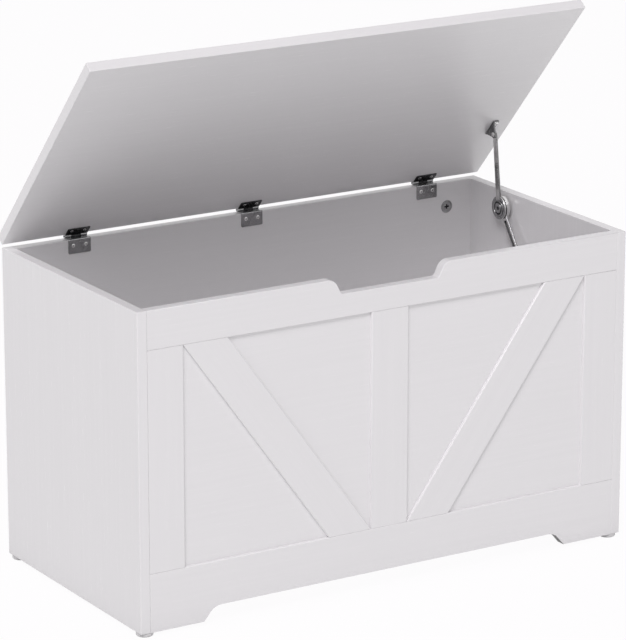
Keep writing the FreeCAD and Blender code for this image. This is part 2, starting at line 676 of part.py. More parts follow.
def cam(name):
    """Eccentric cam, face up at its origin, with a cross recess and a bore for the bolt."""
    drum = cylinder(f"{name}_drum", "cam_radius", "cam_depth - fit_gap")
    put(drum, z="fit_gap - cam_depth")
    end = "cam_radius + overrun"
    cuts = [rod(f"{name}_bore", "bolt_radius + fit_gap", f"-({end})", end, z="-cam_axis_depth")]
    arms = [("cam_slot_length", "cam_slot_width"), ("cam_slot_width", "cam_slot_length")]
    for number, (along, across) in enumerate(arms):
        slot = doc.addObject("Part::Box", f"{name}_slot_{number}")
        bind(slot, Length=along, Width=across, Height="cam_slot_depth + overrun")
        put(slot, f"-{along} / 2", f"-{across} / 2", "-cam_slot_depth")
        cuts.append(slot)
    item = doc.addObject("Part::Cut", name)
    item.Base = drum
    item.Tool = fuse(f"{name}_cuts", cuts)
    return item


def cam_group(label, places, axis, turn):
    """Like cams of one panel, turned to face the way that the panel's pockets open."""
    cams = []
    for number, (x, y, z) in enumerate(places):
        item = cam(f"{label}_{number}")
        put(item, x, y, z, axis, turn=turn)
        cams.append(item)
    keep(group(label, cams), label)


def mirrored(ends, sign):
    """Start and end along X of a right-hand piece, or of its mirror image on the left."""
    return ends if sign == RIGHT else [f"-({end})" for end in reversed(ends)]


def joinery():
    """Cams, cam bolts and dowels that hold the panels to the side panels."""
    cam_group("cam_locks_rear", [(x, "rear_inner", z) for x, z in UPRIGHT_CAMS], X_AXIS, QUARTER_TURN)
    cam_group("cam_locks_front", [(x, "-front_inner", z) for x, z in UPRIGHT_CAMS], -X_AXIS, QUARTER_TURN)
    cam_group("cam_locks_bottom", [(x, y, "bottom_level") for x, y in LYING_CAMS], X_AXIS, HALF_TURN)
    bolts = []
    dowels = []
    for side, sign in SIDES:
        for number, (y, z) in enumerate(BOLTS):
            ends = ["cam_x", "wall + bolt_grip - fit_gap"]
            start, end = mirrored(ends, sign)
            bolts.append(rod(f"{side}_bolt_{number}", "bolt_radius", start, end, y, z))
        for number, (y, z) in enumerate(DOWELS):
            ends = ["wall + dowel_grip - dowel_length + fit_gap", "wall + dowel_grip - fit_gap"]
            start, end = mirrored(ends, sign)
            dowels.append(rod(f"{side}_dowel_{number}", "dowel_radius", start, end, y, z))
    keep(group("cam_bolts", bolts), "cam_bolts")
    keep(group("dowels", dowels), "dowels")


def feet():
    """Four nailed glide feet under the ends of the side panels."""
    nails = []
    for side, x in (("left", "-foot_x"), ("right", "foot_x")):
        for end, y in (("front", "-foot_y"), ("rear", "foot_y")):
            name = f"{end}_{side}_foot"
            body = new_body(name)
            pad(body, "XY_Plane", "0", "foot_height", circles=[("0", "0", "foot_radius")])
            round_edges(body, "foot_round", lambda a, b: max(abs(a.z), abs(b.z)) < sheet.fit_gap)
            hole = [("0", "0", "nail_radius + fit_gap")]
            pocket(body, "XY_Plane", "foot_height", "foot_height", circles=hole)
            recess = [("0", "0", "nail_head_radius + fit_gap")]
            pocket(body, "XY_Plane", "0", "foot_recess", circles=recess, along=True)
            put(body, x, y)
            keep(body, name)
            head = cylinder(f"{name}_nail_head", "nail_head_radius", "nail_head")
            put(head, x, y, "foot_recess - nail_head")
            length = "foot_height - foot_recess + nail_grip - fit_gap"
            shank = cylinder(f"{name}_nail_shank", "nail_radius", length)
            put(shank, x, y, "foot_recess")
            nails.append(fuse(f"{name}_nail", [head, shank]))
    keep(group("foot_nails", nails), "foot_nails")


def headed_pin(name, wall_side, open_side):
    """Pivot pin along X between two places, with a head on each end."""
    inner = rod(f"{name}_inner_head", "stay_pin_head_radius", wall_side, f"{wall_side} + stay_pin_head")
    shaft = rod(f"{name}_shaft", "stay_pin_radius", open_side, wall_side)
    outer = rod(f"{name}_outer_head", "stay_pin_head_radius", f"{open_side} - stay_pin_head", open_side)
    return fuse(name, [inner, shaft, outer])


def stay_base():
    """Hat-shaped bracket on the right side panel, slotted for the lower arm's base pin."""
    body = new_body("stay_base_bracket")
    plate = "-stay_bracket_plate"
    face = "-stay_bracket_height"
    front = "-stay_slot_travel"
    outline = [
        ("0", "bracket_end"), (plate, "bracket_end"), (plate, "bridge_end"), (face, "bridge_end"),
        (face, f"{front} - bridge_end"), (plate, f"{front} - bridge_end"), (plate, f"{front} - bracket_end"),
        ("0", f"{front} - bracket_end"), ("0", f"{front} - cavity_end"),
        (f"{face} + stay_bracket_plate", f"{front} - cavity_end"),
        (f"{face} + stay_bracket_plate", "cavity_end"), ("0", "cavity_end"),
    ]
    pad(body, "XY_Plane", "-stay_bracket_width / 2", "stay_bracket_width", outline)
    half = "stay_pin_radius + running_gap"
    cut = "stay_bracket_plate + overrun"
    pocket(body, "YZ_Plane", face, cut, rectangle(front, "0", f"-({half})", half), along=True)
    pocket(body, "YZ_Plane", face, cut, circles=[("0", "0", half), (front, "0", half)], along=True)
    holes = [(along, "0", "stay_screw_radius + fit_gap") for along in BASE_SCREWS]
    pocket(body, "YZ_Plane", plate, cut, circles=holes, along=True)
    put(body, "wall", "base_y", "base_z", X_AXIS, "stay_slot_tilt")
    keep(body, "stay_base_bracket")

    screws = []
    for number, along in enumerate(BASE_SCREWS):
        name = f"stay_base_screw_{number}"
        head = rod(f"{name}_head", "stay_screw_head_radius", f"{plate} - stay_screw_head", plate, along)
        shank = rod(f"{name}_shank", "stay_screw_radius", plate, "stay_screw_grip - fit_gap", along)
        screws.append(fuse(name, [head, shank]))
    screw_group = group("stay_base_screws", screws)
    put(screw_group, "wall", "base_y", "base_z", X_AXIS, "stay_slot_tilt")
    keep(screw_group, "stay_base_screws")


def stay_lower_arm():
    """Lower arm with its half of the round knuckle, its base pin and the friction washer."""
    body = new_body("stay_lower_arm")
    bar = rectangle("-stay_lower_half", "stay_lower_half", "-stay_lower_length", "0")
    pad(body, "YZ_Plane", "-lower_far", "stay_arm_plate", bar)
    end = [("0", "-stay_lower_length", "stay_lower_half")]
    pad(body, "YZ_Plane", "-lower_far", "stay_arm_plate", circles=end)
    low = "stay_groove_end - stay_lower_length"
    groove = rectangle("-stay_groove_half", "stay_groove_half", low, "-stay_groove_start")
    pocket(body, "YZ_Plane", "-lower_far", "stay_groove_depth", groove, along=True)
    knuckle = [("0", "0", "stay_knuckle_radius")]
    pad(body, "YZ_Plane", "-lower_far", "lower_far - stay_knuckle_gap", circles=knuckle)
    hole = [("0", "0", "stay_elbow_pin_radius + running_gap")]
    pocket(body, "YZ_Plane", "-stay_knuckle_gap", "lower_far", circles=hole)
    hole = [("0", "-stay_lower_length", "stay_pin_radius + fit_gap")]
    pocket(body, "YZ_Plane", "-lower_near", "stay_arm_plate", circles=hole)
    put(body, "wall", "elbow_y", "elbow_z", -X_AXIS, "stay_lower_tilt")
    keep(body, "stay_lower_arm")

    bridge_back = "stay_bracket_height - stay_bracket_plate - moving_gap"
    base_pin = headed_pin("stay_base_pin", f"-({bridge_back})", "-lower_far")
    put(base_pin, "wall", "base_y", "base_z")
    keep(base_pin, "stay_base_pin")

    washer = new_body("stay_friction_washer")
    rims = [("0", "0", "stay_washer_radius"), ("0", "0", "stay_elbow_pin_radius + running_gap")]
    pad(washer, "YZ_Plane", "-washer_far", "stay_washer", circles=rims)
    put(washer, "wall", "elbow_y", "elbow_z")
    keep(washer, "stay_friction_washer")


def stay_upper_arm():
    """Upper arm with its half of the round knuckle, the pin through the knuckle and the ringed cap."""
    body = new_body("stay_upper_arm")
    bar = [
        ("-stay_upper_half", "0"), ("stay_upper_half", "0"),
        ("stay_tip_half", "upper_length"), ("-stay_tip_half", "upper_length"),
    ]
    pad(body, "YZ_Plane", "-upper_far", "stay_arm_plate", bar)
    tip = [("0", "upper_length", "stay_tip_half")]
    pad(body, "YZ_Plane", "-upper_far", "stay_arm_plate", circles=tip)
    knuckle = [("0", "0", "stay_knuckle_radius")]
    pad(body, "YZ_Plane", "-upper_far", "stay_arm_plate", circles=knuckle)
    holes = [
        ("0", "0", "stay_elbow_pin_radius + fit_gap"),
        ("0", "upper_length", "stay_pin_radius + running_gap"),
    ]
    pocket(body, "YZ_Plane", "-upper_near", "stay_arm_plate", circles=holes)
    put(body, "wall", "elbow_y", "elbow_z", -X_AXIS, "upper_tilt")
    keep(body, "stay_upper_arm")

    pin = rod("stay_elbow_pin", "stay_elbow_pin_radius", "-upper_far", "-stay_knuckle_gap - moving_gap")
    put(pin, "wall - upper_far", "elbow_y", "elbow_z", Y_AXIS)
    keep(pin, "stay_elbow_pin")

    cap = new_body("stay_elbow_cap")
    pad(cap, "YZ_Plane", "-cap_far", "stay_cap", circles=[("0", "0", "stay_cap_radius")])
    ring = [("0", "0", "stay_ring_outer"), ("0", "0", "stay_ring_inner")]
    pocket(cap, "YZ_Plane", "-cap_far", "stay_ring_depth", circles=ring, along=True)
    socket = [("0", "0", "stay_socket_radius")]
    pocket(cap, "YZ_Plane", "-cap_far", "stay_ring_depth", circles=socket, along=True)
    put(cap, "wall", "elbow_y", "elbow_z")
    keep(cap, "stay_elbow_cap")


def stay_lid_end():
    """Lid bracket with a pointed ear, its screws and the pin that the upper arm turns on."""
    body = new_body("stay_lid_bracket")
    near = "-stay_lid_reach + stay_lid_base / 2"
    far = "-stay_lid_reach - stay_lid_base / 2"
    level = "lid_under - stay_bracket_plate"
    flange = rectangle("wall - ear_far", "wall - ear_near + stay_lid_flange", far, near)
    pad(body, "XY_Plane", level, "stay_bracket_plate", flange)
    ear = [
        (far, "lid_under"), (near, "lid_under"),
        ("-stay_lid_reach + stay_ear_half", "-stay_lid_drop"),
        ("-stay_lid_reach - stay_ear_half", "-stay_lid_drop"),
    ]
    pad(body, "YZ_Plane", "wall - ear_far", "stay_bracket_plate", ear)
    tip = [("-stay_lid_reach", "-stay_lid_drop", "stay_ear_half")]
    pad(body, "YZ_Plane", "wall - ear_far", "stay_bracket_plate", circles=tip)
    hole = [("-stay_lid_reach", "-stay_lid_drop", "stay_pin_radius + fit_gap")]
    pocket(body, "YZ_Plane", "wall - ear_near", "stay_bracket_plate", circles=hole)
    holes = [("wall - lid_screw_off", y, "stay_screw_radius + fit_gap") for y in LID_SCREWS]
    pocket(body, "XY_Plane", "lid_under", "stay_bracket_plate", circles=holes)
    put_on_lid(body)
    keep(body, "stay_lid_bracket")

    screws = []
    length = "stay_bracket_plate + stay_screw_grip - fit_gap"
    for number, y in enumerate(LID_SCREWS):
        name = f"stay_lid_screw_{number}"
        head = cylinder(f"{name}_head", "stay_screw_head_radius", "stay_screw_head")
        put(head, "wall - lid_screw_off", y, f"{level} - stay_screw_head")
        shank = cylinder(f"{name}_shank", "stay_screw_radius", length)
        put(shank, "wall - lid_screw_off", y, level)
        screws.append(fuse(name, [head, shank]))
    screw_group = group("stay_lid_screws", screws)
    put_on_lid(screw_group)
    keep(screw_group, "stay_lid_screws")

    pin = headed_pin("stay_lid_pin", "moving_gap - upper_near", "-ear_far")
    put(pin, "wall", "lid_pivot_y", "lid_pivot_z")
    keep(pin, "stay_lid_pin")


def check_document():
    """Stops unless every object worked out and every piece is a valid solid."""
    doc.recompute()
    for item in doc.Objects:
        if "Invalid" in item.State or "Error" in item.State:
            raise RuntimeError(f"{item.Label} failed: {item.State}")
    for piece in pieces:
        if piece.Shape.isNull() or not piece.Shape.isValid() or not piece.Shape.Solids:
            raise RuntimeError(f"{piece.Label} has no valid solid")


def write_pieces():
    """Writes each piece to a file named after it."""
    os.makedirs("parts", exist_ok=True)
    for piece in pieces:
        piece.Shape.exportStep(f"parts/{piece.Label}.step")


fill_sheet()
for side, sign in SIDES:
    side_panel(side, sign)
rear_panel()
front_panel()
bottom_panel()
front_trim()
lid_panel()
hinges()
joinery()
feet()
stay_base()
stay_lower_arm()
stay_upper_arm()
stay_lid_end()
check_document()
write_pieces()
print(f"{len(pieces)} pieces written")
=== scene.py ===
"""White storage trunk with a barn-door front, a hinged lid and a folding lid stay.

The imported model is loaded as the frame. Each piece that shows is modelled over its node at the same size
and place, gets its finish, and rides on the node's body. Bolts and dowels keep their node's own shape.
"""
import json
import math

import bmesh
import bpy
from bpy.props import FloatProperty, FloatVectorProperty, PointerProperty
from mathutils import Matrix, Vector


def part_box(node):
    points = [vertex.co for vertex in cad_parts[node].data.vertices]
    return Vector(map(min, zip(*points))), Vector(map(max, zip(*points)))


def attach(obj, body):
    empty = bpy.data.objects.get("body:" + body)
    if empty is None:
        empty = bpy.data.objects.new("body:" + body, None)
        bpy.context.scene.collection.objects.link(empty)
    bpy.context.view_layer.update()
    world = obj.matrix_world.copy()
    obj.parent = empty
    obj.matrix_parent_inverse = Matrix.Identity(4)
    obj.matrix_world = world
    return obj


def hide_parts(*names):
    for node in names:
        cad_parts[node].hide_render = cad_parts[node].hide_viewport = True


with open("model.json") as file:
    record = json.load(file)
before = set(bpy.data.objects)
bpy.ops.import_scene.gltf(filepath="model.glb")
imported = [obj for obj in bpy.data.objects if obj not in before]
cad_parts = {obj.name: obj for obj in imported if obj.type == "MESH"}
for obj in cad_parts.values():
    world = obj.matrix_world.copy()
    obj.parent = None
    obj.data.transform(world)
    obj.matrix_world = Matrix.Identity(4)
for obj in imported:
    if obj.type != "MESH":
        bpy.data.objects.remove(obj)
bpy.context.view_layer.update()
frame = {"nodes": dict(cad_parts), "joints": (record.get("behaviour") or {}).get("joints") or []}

bl_info = {
    "name": "Storage Trunk",
    "version": (1, 0, 0),
    "blender": (4, 5, 0),
    "location": "View3D > Sidebar > Trunk",
    "description": "Models and finishes the pieces of a storage trunk over its packed frame",
    "category": "Object",
}

# Bodies and joints of the frame
CHEST = "chest"
LID = "lid"
UPPER_ARM = "stay_upper_arm"
LOWER_ARM = "stay_lower_arm"
JOINTS = {joint["name"]: joint for joint in frame["joints"]}
HINGE_AXIS = Vector(JOINTS["lid_hinge"]["pos_m"])
LID_ANGLE = math.radians(JOINTS["lid_hinge"]["range_deg"][0])
LID_PIVOT = Vector(JOINTS["stay_lid_pivot"]["pos_m"])
ELBOW = Vector(JOINTS["stay_elbow"]["pos_m"])

# Directions
RIGHT = Vector((1, 0, 0))
REAR = Vector((0, 1, 0))
UP = Vector((0, 0, 1))
SIDES = (-1, 1)

# Pieces of a kind, and the way that each group of cams faces
HINGES = ("left", "centre", "right")
FEET = ("front_left_foot", "rear_left_foot", "front_right_foot", "rear_right_foot")
CAM_FACES = {"cam_locks_rear": -REAR, "cam_locks_front": REAR, "cam_locks_bottom": -UP}

# Modelling
SHARP = math.radians(30)
SMOOTH = math.radians(50)
EDGE_STEPS = 3
CORNER_STEPS = 6
RIM_STEPS = 4
ROUND_STEPS = 64
SMALL_STEPS = 32
ALONG = 0.999
NEAR = 0.00002
MERGE = NEAR / 2
WELD = NEAR / 4

# Turned heads and ends, as shares of a radius and a height
RIVET_HEAD = ((0.45, 0), (0.85, 0.2), (1, 0.7), (1, 1))
PIN_END = ((0.55, 0), (1, 0.4))
PAN_HEAD = ((0.96, 0), (1, 0.15), (0.97, 0.5), (0.82, 0.82), (0.5, 0.97), (0.15, 1))
SUNK_HEAD = ((0.98, -0.3), (1, 0), (0.9, 0.55), (0.6, 0.9), (0.25, 1))
NAIL_HEAD = ((0.5, 1), (0.9, 0.8), (1, 0.3), (1, 0))
NAIL_SHANK = ((1, 0), (1, 0.85), (0.1, 1))
SOCKET_FLOOR = ((0.9, 1), (0.2, 1.5))

# Edges of the stay's disc, outside and round its cap, as shares of the eased edge
DISC_RIM = ((0, -1.6), (-0.5, -0.5), (-1.6, 0))
DISC_HOLE = ((1, 0), (0.4, -1))

# Turn of the hinge screws' recesses, in radians for each metre along the hinges
SCREW_TWIST = 3

# Screws' tips as a share of their shanks, and the pan screws' shanks as a share of the pivot pins
SCREW_TIP = 0.2
PAN_SHANK = 0.85

# Pan screws below their heads, whole and straight, as shares of the head
PAN_LENGTH = 3.2
PAN_STRAIGHT = 2.6

# Cross recesses as shares of the head: width, reach and depth, and their eased edges as a share of the width
SUNK_CROSS = (0.28, 0.62, 0.4)
PAN_CROSS = (0.26, 0.6, 0.6)
CROSS_EDGE = 0.125

# Reach of the cams' recesses as a share of the hub, and the edge of the painted shade in all recesses
CAM_REACH = 0.86
CROSS_MARGIN = 0.04
PAN_PAINTED_SHADE = 0.85

# Rounded ends and corners as shares of half a width
FULL_ROUND = 0.98
GROOVE_ROUND = 0.9
FLANGE_ROUND = 0.6

# Cams as a share of their holes' depth, and their hub's edge as a share of the dish
CAM_FILL = 0.98
HUB_EDGE = 0.3

# Eased edges of the feet as a share of their round, and the base bracket's bends as a share of its plate
FOOT_SOFT = 0.1
BRACKET_BEND = 0.8

# Cutters past the face that they cut, as a share of its height
CUT_PAST = 1.5

# Thin sides of the stay's arms, which take painted shade, as shares of half the arm's width and of the plate
SIDE_START = 0.8
SIDE_HALF = 0.45

# Finishes of metal: material, colour, dull colour, roughness, its spread, stretch of the lines and relief
METALS = {
    "steel": ("plain_steel", "steel", "steel_dull", 0.20, 0.10, (500, 900, 900), 0.05),
    # The hinges' steel darkened with painted shade, for the lid leaves and the pins
    "dark_steel": ("dark_steel", "dark_steel", "dark_dull", 0.20, 0.10, (500, 900, 900), 0.05),
    "bright_steel": ("bright_steel", "bright_steel", "nickel", 0.18, 0.12, (700, 700, 700), 0.05),
    "nickel": ("nickel_steel", "nickel", "nickel_worn", 0.14, 0.12, (900, 900, 60), 0.05),
    # Nickel darkened with painted shade, for the knuckle's face, its cap and the lower arm's thin sides
    "dull_nickel": ("dull_nickel_steel", "dull_nickel", "dull_worn", 0.18, 0.12, (900, 900, 60), 0.05),
    # Nickel darkened with deeper painted shade, for the lid bracket and the upper arm's thin sides
    "dark_nickel": ("dark_nickel_steel", "dark_nickel", "dark_worn", 0.22, 0.12, (900, 900, 60), 0.05),
    # Painted shade for grooves and recesses, near black with lighter rubbed patches
    "hollow": ("hollow_steel", "hollow", "hollow_worn", 0.45, 0.15, (800, 800, 800), 0.05),
    "zinc": ("dark_zinc", "zinc", "zinc_dull", 0.28, 0.15, (800, 800, 800), 0.2),
}

# Finishes without metal: material, colour, darker colour, roughness, stretch of the grain and relief
MATTS = {
    "nylon": ("black_nylon", "nylon", "nylon_worn", 0.5, (600, 600, 600), 0.1),
    "plastic": ("pale_plastic", "plastic", "plastic_dark", 0.45, (420, 420, 420), 0.12),
    # Painted shade on the arch's cut edge, grey in place of the white foil
    "raw_edge": ("raw_board_edge", "raw_edge", "raw_edge_dark", 0.6, (300, 300, 300), 0.2),
    "wood": ("bare_wood", "wood", "wood_dark", 0.62, (40, 600, 600), 0.3),
}

# Stretch of the patterns in the foil, along and across its grain, and of the metal's dull patches
STREAKS = (1.6, 60, 60)
PORES = (14, 420, 420)
CLOUDS = (3, 5, 5)
PATCHES = (90, 90, 90)


def length(name, millimetres, description):
    """A size that a user may change, given in millimetres."""
    return FloatProperty(
        name=name, description=description, default=millimetres / 1000, unit="LENGTH", precision=5,
    )


def angle(name, degrees, description):
    """An angle that a user may change, given in degrees."""
    return FloatProperty(
        name=name, description=description, default=math.radians(degrees), subtype="ANGLE", unit="ROTATION",
    )


def share(name, default, description):
    """A number between 0 and 1 that a user may change."""
    return FloatProperty(name=name, description=description, default=default, min=0, max=1, subtype="FACTOR")


def colour(name, default, description):
    """A colour that a user may change."""
    return FloatVectorProperty(
        name=name, description=description, default=default, size=3, min=0, max=1, subtype="COLOR",
    )


class TrunkBoards(bpy.types.PropertyGroup):
    """Sizes of the boards and of the front's trim."""
    edge: length("Board edge", 1.0, "Eased edges of the boards")
    trim_edge: length("Trim edge", 1.5, "Rounded edges of the trim boards beside the recesses")
    seam: length("Seam", 0.3, "Eased edges where two boards meet")
    lid_depth: length("Lid depth", 400, "Lid from its rear edge to its front edge")
    lid_thickness: length("Lid thickness", 15, "Thickness of the lid")
    lid_rear: length("Lid's rear edge", 6, "Rounded upper rear edge of the lid")
    notch_top: length("Notch, top", 180, "Hand notch between its upper corners")
    notch_bottom: length("Notch, bottom", 158, "Hand notch along its bottom")
    notch_depth: length("Notch depth", 22, "Hand notch below the top edge")
    notch_upper_round: length("Notch, upper round", 16, "Radius of the hand notch's upper corners")
    notch_lower_round: length("Notch, lower round", 5, "Radius of the hand notch's lower corners")
    arch_foot: length("Arch foot", 98.5, "Foot of the front from the outer face of the side panel")
    arch_run: length("Arch run", 17, "Sloped end of the arch before rounding")
    arch_height: length("Arch height", 20, "Height of the arch under the front")
    arch_round: length("Arch round", 20, "Radius of the arch's upper corners")
    brace_cut: length("Brace cut", 69, "Horizontal length of a brace's cut ends")
    cam_hole: length("Cam hole", 9.75, "Radius of the holes for the cams")
    cam_depth: length("Cam depth", 9, "Depth of the holes for the cams")


class TrunkHinges(bpy.types.PropertyGroup):
    """Sizes of the hinges and of their screws."""
    width: length("Width", 35.5, "Hinge leaves along the hinge axis")
    plate: length("Plate", 1.2, "Thickness of the leaves")
    rise: length("Rise", 3.3, "Hinge axis above the body's top edge")
    wrap: length("Wrap", 12, "Rear leaf over the rear panel's top edge")
    drop: length("Drop", 20, "Rear leaf below the body's top edge")
    bend: length("Bend", 1.6, "Outer radius of the rear leaf's bend")
    corner: length("Corner", 1.8, "Rounded corners of the leaves")
    edge: length("Edge", 0.2, "Eased edges of the leaves")
    setback: length("Setback", 3.5, "Lid's rear edge forward of the hinge axis")
    under: length("Underside", -0.5, "Underside of the closed lid above the hinge axis")
    lid_depth: length("Lid leaf", 15, "Lid leaf along the lid")
    tongue: length("Tongue", 2.1, "End of the lid leaf's tongue forward of the hinge axis")
    barrel: length("Barrel", 3, "Radius of the knuckles")
    knuckle: length("Knuckle", 15, "Length of the lid leaf's knuckle")
    gap: length("Gap", 0.3, "Between the knuckles")
    pin: length("Pin", 1.2, "Radius of the hinge pin")
    pin_stub: length("Pin stub", 0.8, "Hinge pin past each end of the knuckles")
    screw_spacing: length("Screw spacing", 20, "Between the two screws of a leaf")
    rear_screw_drop: length("Rear screws", 8.5, "Rear leaf's screws below the body's top edge")
    lid_screw_inset: length("Lid screws", 8.5, "Lid leaf's screws from the lid's rear edge")
    screw_head: length("Screw head", 2.7, "Radius of the countersunk heads")
    screw_shank: length("Screw shank", 1.5, "Radius of the shanks")
    screw_length: length("Screw length", 10.56, "Screws below their leaf's face")
    screw_point: length("Screw point", 0.96, "Pointed ends of the screws")
    screw_dome: length("Screw dome", 0.22, "Domed head above its leaf")


class TrunkStay(bpy.types.PropertyGroup):
    """Sizes of the folding lid stay."""
    knuckle: length("Knuckle", 17.5, "Radius of the round friction knuckle")
    plate: length("Arm plate", 2.5, "Thickness of the arms")
    edge: length("Edge", 0.5, "Eased edges of the arms")
    lower_half: length("Lower arm", 6.5, "Half width of the lower arm")
    lower_length: length("Lower length", 112.45, "Lower arm between its pivots")
    lower_tilt: angle("Lower tilt", 35, "Lower arm forward of straight down")
    groove_half: length("Groove", 3.2, "Half width of the groove along the lower arm")
    groove_depth: length("Groove depth", 1.5, "Depth of that groove")
    groove_start: length("Groove start", 21, "Groove from the middle of the knuckle")
    groove_end: length("Groove end", 16, "Groove short of the base pivot")
    upper_half: length("Upper arm", 5.3, "Half width of the upper arm at the knuckle")
    tip_half: length("Upper tip", 4.2, "Half width of the upper arm at the lid")
    washer: length("Washer", 15, "Radius of the friction washer")
    cap: length("Cap", 12.5, "Radius of the knuckle's cap")
    ring_outer: length("Ring, outer", 10, "Ring groove in the cap, outer radius")
    ring_inner: length("Ring, inner", 7.6, "Ring groove in the cap, inner radius")
    ring_depth: length("Ring depth", 0.6, "Depth of the ring groove")
    socket: length("Socket", 3, "Radius of the socket in the cap")
    pin: length("Pin", 2, "Radius of the pivot pins")
    pin_head: length("Pin head", 3.6, "Radius of the pivot pins' heads")
    head: length("Head", 1.2, "Thickness of those heads")
    bracket: length("Bracket plate", 2, "Thickness of the brackets")
    bracket_height: length("Bracket height", 7.5, "Base bracket from the side panel")
    bracket_width: length("Bracket width", 20, "Base bracket across its slot")
    cavity: length("Cavity", 3.9, "Inside of the base bracket past each end of the slot's middle line")
    flange: length("Flange", 13, "Each screw flange of the base bracket")
    slot_travel: length("Slot", 19, "Travel in the base bracket's slot")
    slot_half: length("Slot half", 2.06, "Half width of the slot")
    slot_tilt: angle("Slot tilt", 28.74, "Slot of the base bracket, down towards the front")
    lid_reach: length("Lid reach", 124, "Lid pivot along the lid from the hinge axis")
    lid_drop: length("Lid drop", 14, "Lid pivot below the hinge axis with the lid closed")
    lid_base: length("Lid base", 32, "Lid bracket along the lid")
    lid_flange: length("Lid flange", 8, "Lid bracket's flange across the lid")
    lid_corner: length("Lid corner", 2, "Rounded corners of that flange")
    ear_half: length("Ear", 5.5, "Half width of the lid bracket's ear at the pivot")
    screw_head: length("Screw head", 3.4, "Radius of the screw heads")
    screw_height: length("Screw height", 1.6, "Height of the screw heads")
    screw_inset: length("Screw inset", 5.5, "Lid bracket's screws from its ends")


class TrunkFittings(bpy.types.PropertyGroup):
    """Sizes of the cams and of the glide feet."""
    cam: length("Cam", 9.5, "Radius of the cams")
    cam_rim: length("Cam rim", 1.1, "Raised rim of a cam")
    cam_dish: length("Cam dish", 0.7, "Dished face inside the rim")
    cam_hub: length("Cam hub", 4.4, "Radius of the hub with the cross recess")
    cam_slot: length("Cam slot", 2.2, "Width of the cross recess")
    cam_slot_depth: length("Cam slot depth", 1.8, "Depth of the cross recess")
    foot: length("Foot", 12, "Radius of a glide foot")
    foot_height: length("Foot height", 6, "Height of a glide foot")
    foot_round: length("Foot round", 2.5, "Rounded lower rim of a glide foot")
    foot_recess: length("Foot recess", 2.4, "Depth of the nail's recess")
    nail: length("Nail", 3.4, "Radius of the nail's head")
    nail_head: length("Nail head", 1.2, "Thickness of the nail's head")
    nail_shank: length("Nail shank", 1, "Radius of the nail's shank")
    nail_grip: length("Nail grip", 17.5, "Nail above its head")


class TrunkColours(bpy.types.PropertyGroup):
    """Colours of the finishes."""
    foil: colour("Foil", (0.80, 0.79, 0.80), "White foil on the boards")
    foil_streak: colour("Foil streak", (0.782, 0.772, 0.782), "Streaks in the white foil")
    steel: colour("Steel", (0.42, 0.42, 0.425), "Rear leaves of the hinges")
    steel_dull: colour("Steel, dull", (0.30, 0.30, 0.305), "Dull places on the rear leaves")
    # The hinges' steel darkened with painted shade on the lid leaves and pins, with duller patches
    dark_steel: colour("Dark steel", (0.13, 0.13, 0.133), "Lid leaves of the hinges")
    dark_dull: colour("Dark steel, dull", (0.07, 0.07, 0.073), "Dull places on the lid leaves")
    bright_steel: colour("Bright steel", (0.86, 0.855, 0.85), "Screws, nails and bolts")
    nickel: colour("Nickel", (0.80, 0.795, 0.79), "Arms of the lid stay")
    nickel_worn: colour("Nickel, worn", (0.60, 0.595, 0.595), "Worn places on the arms")
    # Nickel darkened with painted shade on the knuckle's face, its cap and the lower arm's thin sides, with
    # worn patches
    dull_nickel: colour("Dull nickel", (0.44, 0.44, 0.445), "Knuckle of the lid stay")
    dull_worn: colour("Nickel in painted shade, worn", (0.30, 0.30, 0.305), "Worn places on the knuckle")
    # Nickel darkened with deeper painted shade on the lid bracket and the upper arm's thin sides, with worn
    # patches
    dark_nickel: colour("Dark nickel", (0.26, 0.26, 0.263), "Lid bracket and the upper arm's thin sides")
    dark_worn: colour("Dark nickel, worn", (0.17, 0.17, 0.172), "Worn places on the lid bracket")
    # Painted shade in the grooves and recesses of the metal, with lighter rubbed patches
    hollow: colour("Hollows", (0.04, 0.04, 0.042), "Grooves and recesses in the metal")
    hollow_worn: colour("Hollows, worn", (0.08, 0.08, 0.084), "Rubbed places in the grooves and recesses")
    nylon: colour("Nylon", (0.022, 0.022, 0.023), "Friction washer")
    nylon_worn: colour("Nylon, worn", (0.05, 0.05, 0.052), "Rubbed places on the washer")
    zinc: colour("Zinc", (0.52, 0.52, 0.525), "Cams")
    zinc_dull: colour("Zinc, dull", (0.32, 0.32, 0.325), "Dull places on the cams")
    # Painted shade on the arch's cut edge in place of the white foil, mottled by the darker colour
    raw_edge: colour("Raw edge", (0.30, 0.295, 0.295), "Sealed cut edge of the arch")
    raw_edge_dark: colour("Raw edge, dark", (0.22, 0.217, 0.217), "Fibres of that cut edge")
    plastic: colour("Plastic", (0.72, 0.715, 0.72), "Glide feet")
    plastic_dark: colour("Plastic, dark", (0.62, 0.615, 0.62), "Mottling of the glide feet")
    wood: colour("Wood", (0.52, 0.36, 0.20), "Dowels")
    wood_dark: colour("Wood, dark", (0.38, 0.24, 0.12), "Grain of the dowels")
    floor: colour("Floor", (0.80, 0.80, 0.80), "Studio floor")
    light: colour("Light", (1, 0.98, 1), "Light of the studio")
    backdrop: colour("Backdrop", (1, 0.992, 1), "Plain white round the trunk")


